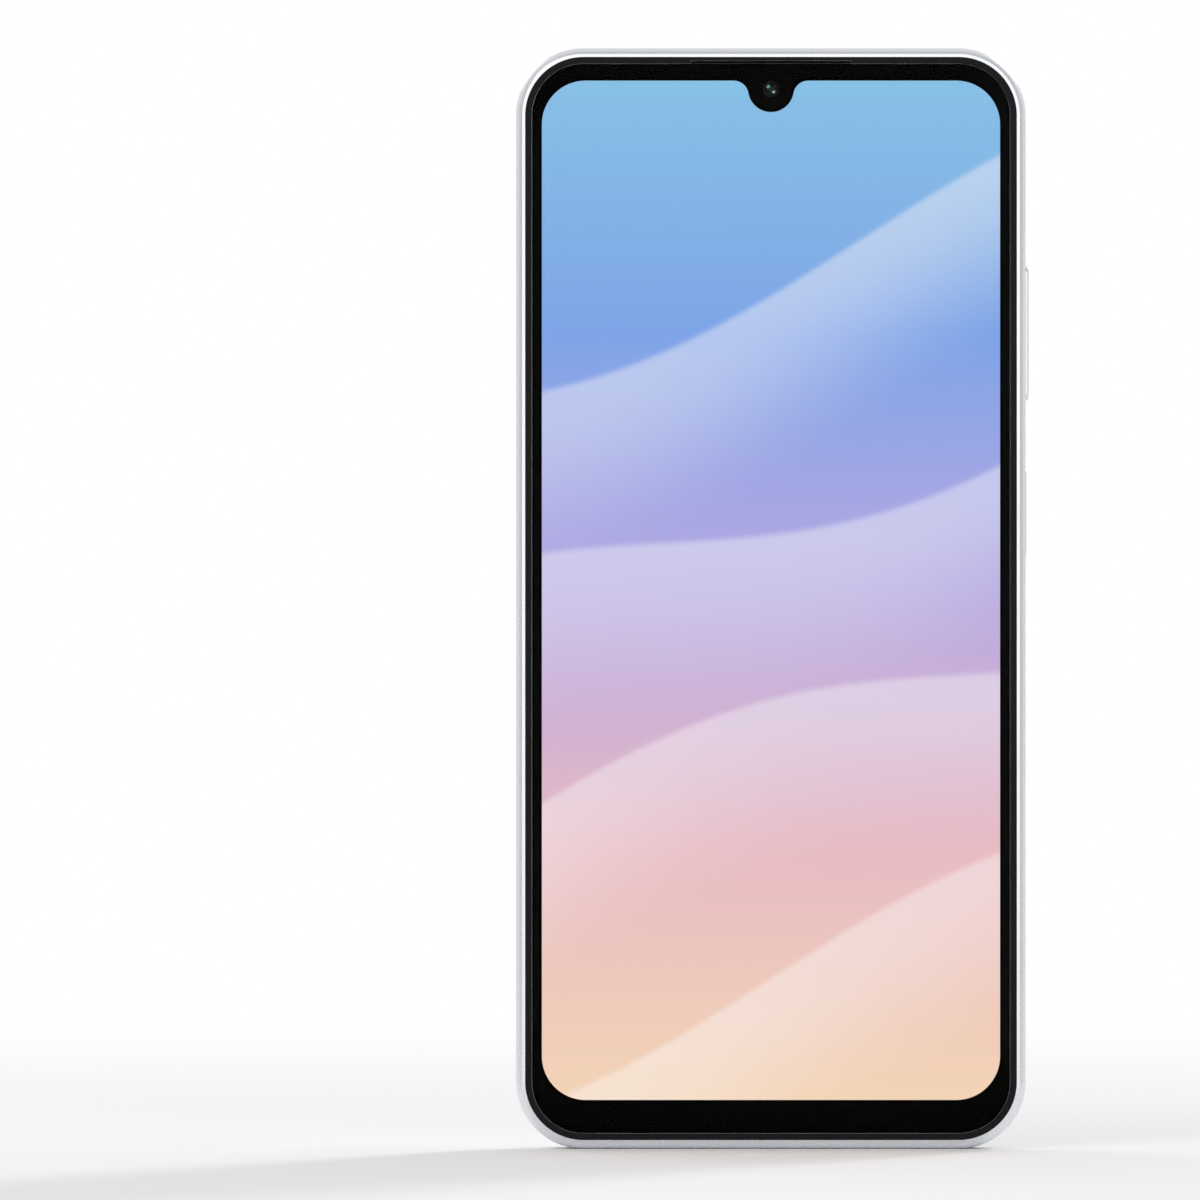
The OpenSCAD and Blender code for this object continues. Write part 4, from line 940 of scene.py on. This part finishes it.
def build_border_print():
    """Black ink under the glass, a thin sheet with the screen's opening."""
    camera_x, camera_z = centre_of("front_camera")
    window = arc((camera_x, camera_z), CAMERA_OPENING, 0, 360, 48)[:-1]
    loops = (outline(GLASS_INSET + SEAM), screen_loop(), window)
    work = bmesh.new()
    edges = []
    for loop in loops:
        corners = [work.verts.new((x * MM, PRINT_LOW.y * MM, z * MM)) for x, z in loop]
        for i, corner in enumerate(corners):
            edges.append(work.edges.new((corner, corners[(i + 1) % len(corners)])))
    bmesh.ops.triangle_fill(work, use_beauty=True, edges=edges)
    sheet = bmesh.ops.extrude_face_region(work, geom=list(work.faces))
    raised = [v for v in sheet["geom"] if isinstance(v, bmesh.types.BMVert)]
    thickness = (PRINT_HIGH.y - PRINT_LOW.y) * MM
    bmesh.ops.translate(work, vec=Vector((0, thickness, 0)), verts=raised)
    bmesh.ops.recalc_face_normals(work, faces=work.faces)
    mesh = bpy.data.meshes.new("glass_border")
    work.to_mesh(mesh)
    work.free()
    piece = bpy.data.objects.new("glass_border", mesh)
    bpy.context.scene.collection.objects.link(piece)
    finish_piece(piece, (INK_BLACK,), replaces=("glass_border_print",))


def build_front_camera():
    """Small domed lens behind the glass, in a black baffle."""
    low, high = box("front_camera_lens")
    x, z = centre_of("front_camera_lens")
    front = low.y - FRONT_DOME_PROUD
    radius = FRONT_DOME_R
    dome = [(0.0, front), (0.25, front + 0.02), (0.5, front + 0.09), (0.68, front + 0.2),
            (radius, front + 0.32), (radius, high.y), (0.0, high.y)]
    lens = lathe("front_camera_dome", dome, x, z, False)
    painted_highlight_look = lens_with_painted_highlights("selfie_lens", (x, z, -1), radius, BRIGHT_TEAL_HIGHLIGHT, BRIGHT_MINT_HIGHLIGHT,
                          (0.50, 0.40), (0.56, 0.54), 0.05, 0.1)
    finish_piece(lens, (painted_highlight_look,), replaces=("front_camera_lens",), angle=60)
    top = box("front_camera")[0].y
    baffle = [(1.42, top - 0.01), (1.25, top - 0.03), (1.18, top - 0.01), (0.9, top + 0.3),
              (0.84, top + 0.38), (0.9, top + 0.5), (1.1, top + 0.42), (1.42, top + 0.16)]
    ring = lathe("front_camera_baffle", baffle, x, z)
    finish_piece(ring, (CLOTH_BLACK,), angle=50)


def build_earpiece_cloth():
    """Black acoustic cloth stretched behind the earpiece's mesh."""
    low, high = box("earpiece_mesh")
    back = high.y + CLOTH_GAP
    cloth = block("earpiece_cloth", (low.x, back, low.z), (high.x, back + CLOTH_T, high.z))
    finish_piece(cloth, (CLOTH_BLACK,))


# ---------------- rear cameras and flash

def camera_centre(which):
    return centre_of("camera_ring_" + which)


def build_camera_ring(which):
    """Black ring with a bright cut edge round its top, and a sloped bevel down to the window."""
    x, z = camera_centre(which)
    low, high = box("camera_ring_" + which)
    top = high.y
    r = (high.x - low.x) / 2
    window_low, window_high = box("camera_window_" + which)
    seat = (window_high.x - window_low.x) / 2 + SEAM
    profile = [
        (RING_BORE_R, low.y), (RING_FOOT_R, low.y), (RING_FOOT_R, REAR_Y), (r, REAR_Y),
        (r, top - 0.15),
        (r - 0.02, top - 0.10), (r - 0.08, top - 0.07), (r - 0.22, top), (r - 0.30, top),
        (r - 0.38, top - 0.02), (r - 0.52, top - 0.08), (r - 0.80, top - 0.20),
        (seat + 0.12, top - 0.28), (seat + 0.03, top - 0.30), (seat, top - 0.34),
        (seat, window_low.y), (RING_BORE_R, window_low.y)]
    looks = [0] * len(profile)
    looks[6] = 1
    piece = lathe("ring_" + which, profile, x, z, True, looks)
    finish_piece(piece, (RING_BLACK, RING_CUT),
                 replaces=("camera_ring_" + which,), angle=16)


def build_camera_window(which):
    """Flat window with the black print under it, open over the lens."""
    aperture = WIDE_APERTURE if which == "mid" else SMALL_APERTURE
    x, z = camera_centre(which)
    low, high = box("camera_window_" + which)
    r = (high.x - low.x) / 2
    glass = [(0.0, high.y), (r - 0.12, high.y), (r - 0.03, high.y - 0.03), (r, high.y - 0.11),
             (r, low.y), (0.0, low.y)]
    piece = lathe("window_" + which, glass, x, z, False)
    finish_piece(piece, (WINDOW_GLASS,), replaces=("camera_window_" + which,))
    front = low.y - 0.01
    back = front - WINDOW_PRINT_T
    sheet = [(aperture, front), (WINDOW_PRINT_R, front), (WINDOW_PRINT_R, back), (aperture, back)]
    ink = lathe("window_print_" + which, sheet, x, z)
    finish_piece(ink, (window_ink_with_painted_sheen("window_ink_with_painted_sheen_" + which, x, z),))


def build_lens(name, which, front, radius, rim, depth, upper, lower, body):
    """Cone-shaped hood with steps, and the domed front lens in it."""
    x, z = camera_centre(which)
    mouth = rim - HOOD_LAND
    hood = [(rim, front), (rim - HOOD_LAND / 2, front + 0.03), (mouth, front)]
    for step in range(HOOD_STEPS):
        share = (step + 1) / HOOD_STEPS
        r = mouth - (mouth - radius) * share
        y = front - depth * share
        hood += [(r, y + 0.03), (r, y)]
    hood += [(radius, front - depth - 0.06), (radius + 0.3, front - depth - 0.06)]
    piece = lathe(name + "_hood", hood, x, z)
    finish_piece(piece, (BARREL_GREY,), body, angle=25)
    base = front - depth - 0.05
    dome = [(0.0, base + radius * 0.34), (radius * 0.35, base + radius * 0.315),
            (radius * 0.62, base + radius * 0.25), (radius * 0.84, base + radius * 0.15),
            (radius * 0.97, base + 0.05), (radius * 0.97, base - 0.02), (0.0, base - 0.02)]
    lens = lathe(name + "_lens", dome, x, z, False)
    painted_highlight_look = lens_with_painted_highlights(name + "_lens_painted_highlights", (x, z, 1), radius, upper, lower)
    finish_piece(lens, (painted_highlight_look,), body, angle=60)


def build_focus_barrel():
    """Moving barrel of the main camera."""
    x, z = camera_centre("mid")
    low, high = box("focus_barrel")
    r = (high.x - low.x) / 2
    profile = [(0.0, low.y), (r - 0.08, low.y), (r, low.y + 0.08), (r, high.y - 0.14),
               (r - 0.04, high.y - 0.05), (r - 0.14, high.y), (2.62, high.y), (2.58, high.y - 0.08),
               (2.48, high.y - 0.08), (2.44, high.y), (2.36, high.y), (2.32, high.y - 0.5),
               (0.0, high.y - 0.5)]
    piece = lathe("autofocus_barrel", profile, x, z, False)
    finish_piece(piece, (BARREL_GREY,), "focus_barrel", ("focus_barrel",), 25)


def build_flash():
    """Flush flash lens with a grey rim and concentric ribs on its back."""
    low, high = box("flash_lens")
    x, z = centre_of("flash_lens")
    r = (high.x - low.x) / 2
    back = high.y - FLASH_LENS_T
    profile = [(0.0, high.y), (1.2, high.y - 0.01), (r - 0.22, high.y - 0.03),
               (r - 0.19, high.y - 0.05), (r - 0.16, high.y - 0.01), (r - 0.05, high.y - 0.01),
               (r, high.y - 0.06), (r, back), (r - 0.65, back), (r - 0.65, low.y)]
    for i in range(FLASH_RIBS):
        outer = (r - 0.7) * (1 - i / FLASH_RIBS)
        profile += [(outer, low.y), (outer - FLASH_RIB_DEPTH, low.y + FLASH_RIB_DEPTH)]
    profile.append((0.0, low.y))
    looks = [0] * (len(profile) - 1)
    for span in (3, 4, 5, 6):
        looks[span] = 1
    piece = lathe("flash_window", profile, x, z, False, looks)
    finish_piece(piece, (LOOKS["flash_clear"], FLASH_RIM),
                 replaces=("flash_lens",), angle=30)


# ---------------- keys and card tray

def key_sections(inner, stem, top, fillet):
    """Sections of a key from its flange to its rounded outer edge; growth is per slot size."""
    sections = [(inner, FLANGE_GROW), (stem, FLANGE_GROW), (stem, 0.0), (top - fillet, 0.0)]
    steps = 6
    for step in range(1, steps + 1):
        angle = math.radians(90 * step / steps)
        sections.append((top - fillet * (1 - math.sin(angle)),
                         -2 * fillet * (1 - math.cos(angle))))
    return sections


def build_key(node, name, fillet):
    """Key from its hidden flange to its outer face."""
    sections = key_sections(FLANGE_IN, FLANGE_IN + FLANGE_T, box(node)[1].x, fillet)
    return side_slot(name, sections, 0, centre_of(node)[1], key_length(node), KEY_W)


def build_keys():
    """Volume rocker, and power key with its fingerprint pad."""
    volume = build_key("volume_key", "volume_rocker", VOLUME_FILLET)
    finish_piece(volume, (KEY_PAINT,), "volume_key", ("volume_key",))
    power = build_key("power_key", "power_button", POWER_FILLET)
    middle = centre_of("power_key")[1]
    top = box("power_key")[1].x
    low, high = box("fingerprint_sensor")
    length = high.z - low.z
    width = high.y - low.y
    seat = [(low.x, 2 * SEAM), (top - 0.08, 2 * SEAM), (top, 0.26), (top + PAST, 0.26)]
    cutter = side_slot("sensor_cut", seat, 0, middle, length, width)
    combine(power, [cutter], "DIFFERENCE", (KEY_PAINT,))
    finish_piece(power, (KEY_PAINT,), "power_key", ("power_key",))
    face = [(low.x, 0.0), (high.x - 0.10, 0.0), (high.x - 0.04, -0.06), (high.x - 0.02, -0.16)]
    pad = side_slot("touch_sensor", face, 0, middle, length, width)
    finish_piece(pad, (LOOKS["sensor_silver"],), "power_key",
                 ("fingerprint_sensor",))


def build_card_tray():
    """Tray with a flush outer plate, a blade with two card pockets, and the eject hole."""
    low, high = box("card_tray")
    _, y, z = middle_of("card_tray")
    plate_in = low.x + TRAY_PLATE_T
    plate = [(low.x, -0.14), (low.x + 0.03, -0.05), (low.x + 0.08, 0.0), (plate_in, 0.0)]
    piece = side_slot("sim_tray", plate, y, z, high.z - low.z, high.y - low.y)
    root = plate_in - 0.3
    shoulder_x = high.x - BLADE_NOSE
    end_z = BLADE_HALF_L - BLADE_NOSE
    blade = [(root, z - BLADE_HALF_L), (shoulder_x, z - BLADE_HALF_L), (high.x, z - end_z),
             (high.x, z + end_z), (shoulder_x, z + BLADE_HALF_L), (root, z + BLADE_HALF_L)]
    sides = (y - BLADE_HALF_T, y + BLADE_HALF_T)
    blade = loft("blade", [[(px, side, pz) for px, pz in blade] for side in sides])
    combine(piece, [blade], "UNION", (TRAY_PAINT,))
    cutters = []
    small_x = plate_in + POCKET_START
    for x, (length, half) in ((small_x, SMALL_CARD), (small_x + LARGE_CARD_START, LARGE_CARD)):
        cutters.append(block("card_pocket", (x, y - POCKET_FLOOR, z - half),
                             (x + length, y + PAST, z + half)))
    way_in = flared(plate_in + 0.6, low.x - PAST, low.x, MOUTH_FLARE)
    cutters.append(side_slot("eject_cut", way_in, y, low.z + EJECT_UP, EJECT_D + ROUND_OFF,
                             EJECT_D))
    combine(piece, cutters, "DIFFERENCE", (TRAY_PAINT,))
    finish_piece(piece, (TRAY_PAINT,), "card_tray", ("card_tray",))


# ---------------- charging port

def build_port_shell():
    """Drawn shell with a rolled lip."""
    low, high = box("usb_c_shell")
    bore = -2 * PORT_WALL
    sections = [(high.z, 0.0), (low.z + 0.14, 0.0), (low.z + 0.04, -0.05), (low.z, -0.16),
                (low.z, bore + 0.16), (low.z + 0.04, bore + 0.05), (low.z + 0.14, bore),
                (high.z - PORT_WALL, bore)]
    shell = end_slot("usb_shell", sections, 0, 0, high.x - low.x, high.y - low.y)
    finish_piece(shell, (PORT_STEEL,), replaces=("usb_c_shell",), angle=50)


def build_port_tongue():
    """Tongue with a bevelled tip, on its wider root."""
    low, high = box("usb_c_tongue")
    root = high.z - TONGUE_ROOT
    loops = []
    for z, shrink in ((low.z, 0.16), (low.z + 0.22, 0.0), (root + 0.1, 0.0)):
        x = TONGUE_HALF_W - shrink
        y = TONGUE_HALF_T - shrink
        loops.append([(-x, -y, z), (x, -y, z), (x, y, z), (-x, y, z)])
    tongue = loft("usb_tongue", loops)
    wide = end_slot("root", [(root, 0.0), (high.z, 0.0)], 0, 0, high.x - low.x, high.y - low.y)
    combine(tongue, [wide], "UNION", (PORT_BLACK,))
    finish_piece(tongue, (PORT_BLACK,), replaces=("usb_c_tongue",))


def build_port_contacts():
    """Two rows of gold contacts on the tongue; the outer and inner power contacts are longer."""
    low, high = box("usb_c_tongue")
    end = high.z - TONGUE_ROOT - 0.2
    points = []
    faces = []
    for side in (-1, 1):
        for i in range(CONTACT_COUNT):
            x = (i - (CONTACT_COUNT - 1) / 2) * CONTACT_PITCH
            start = low.z + (0.5 if i in LONG_CONTACTS else 0.9)
            base = len(points)
            for rise, inset in ((0.0, 0.0), (CONTACT_T, CONTACT_T)):
                y = side * (TONGUE_HALF_T + rise)
                half = CONTACT_W / 2 - inset
                points += [(x - half, y, start + inset), (x + half, y, start + inset),
                           (x + half, y, end - inset), (x - half, y, end - inset)]
            faces.append(tuple(range(base, base + 4)))
            faces.append(tuple(range(base + 7, base + 3, -1)))
            for k in range(4):
                n = (k + 1) % 4
                faces.append((base + k, base + n, base + 4 + n, base + 4 + k))
    contacts = make("usb_contacts", points, faces)
    finish_piece(contacts, (GOLD,))


# ---------------- studio

# In metres
VIEW_WIDTH = 0.1830
VIEW_DISTANCE = 2.0
SENSOR = 36.0
PHONE_RIGHT = 0.02608
PHONE_UP = 0.00023
FLOOR_HALF = 0.8

# Brightness of the surroundings by angle from straight ahead of the glass, as a share of half a turn
STUDIO_LEVELS = ((0.0, 1.3), (0.05, 1.3), (0.09, 1.2), (0.20, 1.5), (0.28, 0.55), (0.44, 0.5),
                 (0.62, 0.85), (1.0, 0.78))


def build_camera():
    """Camera straight ahead of the display, with the phone right of its middle."""
    data = bpy.data.cameras.new("camera")
    data.type = "PERSP"
    data.sensor_width = SENSOR
    data.lens = SENSOR * VIEW_DISTANCE / VIEW_WIDTH
    data.clip_start = 0.05
    data.clip_end = 50
    camera = bpy.data.objects.new("camera", data)
    camera.location = (-PHONE_RIGHT, FRONT_Y * MM - VIEW_DISTANCE, HEIGHT * MM / 2 - PHONE_UP)
    camera.rotation_euler = (math.radians(90), 0, 0)
    bpy.context.scene.collection.objects.link(camera)
    bpy.context.scene.camera = camera


def build_floor():
    """Round sheet of white paper that thins out into the backdrop away from the phone."""
    corners = [(x * FLOOR_HALF, y * FLOOR_HALF, 0) for x, y in ((-1, -1), (1, -1), (1, 1), (-1, 1))]
    mesh = bpy.data.meshes.new("floor")
    mesh.from_pydata(corners, [], [(0, 1, 2, 3)])
    floor = bpy.data.objects.new("floor", mesh)
    bpy.context.scene.collection.objects.link(floor)
    look = Look("floor_paper", Base_Color=grey(0.92), Roughness=0.9,
                Specular_IOR_Level=0.1)
    away = look.add("VectorMath", {"operation": "LENGTH"}, {0: look.mm()}).outputs["Value"]
    look.drive("Alpha", look.span(away, 150.0, 650.0, 1.0, 0.0))
    mesh.materials.append(look.material)


def far_light(name, place, power, spread):
    """Large soft light, far off in the direction of a place."""
    data = bpy.data.lights.new(name, "SUN")
    data.energy = power
    data.angle = math.radians(spread)
    light = bpy.data.objects.new(name, data)
    light.location = place
    light.rotation_euler = (-Vector(place)).to_track_quat("-Z", "Y").to_euler()
    bpy.context.scene.collection.objects.link(light)


def build_world():
    """Pale studio, bright in front and dimmer at the sides, that looks white to the camera."""
    world = bpy.data.worlds.new("studio")
    bpy.context.scene.world = world
    world.use_nodes = True
    studio = Nodes(world.node_tree)
    direction = studio.add("TexCoord").outputs["Generated"]
    ahead = studio.add("SeparateXYZ", None, {0: direction}).outputs["Y"]
    angle = studio.math("ARCCOSINE", studio.math("MULTIPLY", ahead, -1.0))
    light = studio.ramp(studio.math("DIVIDE", angle, math.pi),
                        [(position, (level, level, level, 1)) for position, level in STUDIO_LEVELS])
    seen = studio.add("LightPath").outputs["Is Camera Ray"]
    background = world.node_tree.nodes["Background"]
    studio.feed(background.inputs["Color"], studio.mix(seen, light, (1, 1, 1, 1)))
    background.inputs["Strength"].default_value = 1.0


def build_studio():
    """Camera, floor, lights and surroundings."""
    build_camera()
    build_floor()
    far_light("front_light", (-1.2, -1.4, 1.6), 0.45, 35)
    far_light("rear_light", (0.50, 0.77, 0.52), 0.9, 13)
    far_light("rear_fill", (-0.55, 0.95, 0.50), 0.15, 20)
    build_world()
    bpy.context.scene.view_settings.view_transform = "Standard"


# ---------------- assembly

build_studio()
dress_cad_nodes()
build_side_frame()
build_cover_glass()
build_bezel()
build_border_print()
build_front_camera()
build_earpiece_cloth()
for which in CAMERAS:
    build_camera_ring(which)
    build_camera_window(which)
build_focus_barrel()
barrel_top = box("focus_barrel")[1].y
build_lens("main", "mid", barrel_top - 0.02, 1.15, 2.3, 0.32, TEAL_HIGHLIGHT, PALE_TEAL_HIGHLIGHT, "focus_barrel")
for which in ("top", "low"):
    build_lens(which, which, barrel_top - 0.06, 0.45, 1.40, 0.22, GREY_GLINT, PALE_GLINT, "body")
build_flash()
build_keys()
build_card_tray()
build_port_shell()
build_port_tongue()
build_port_contacts()
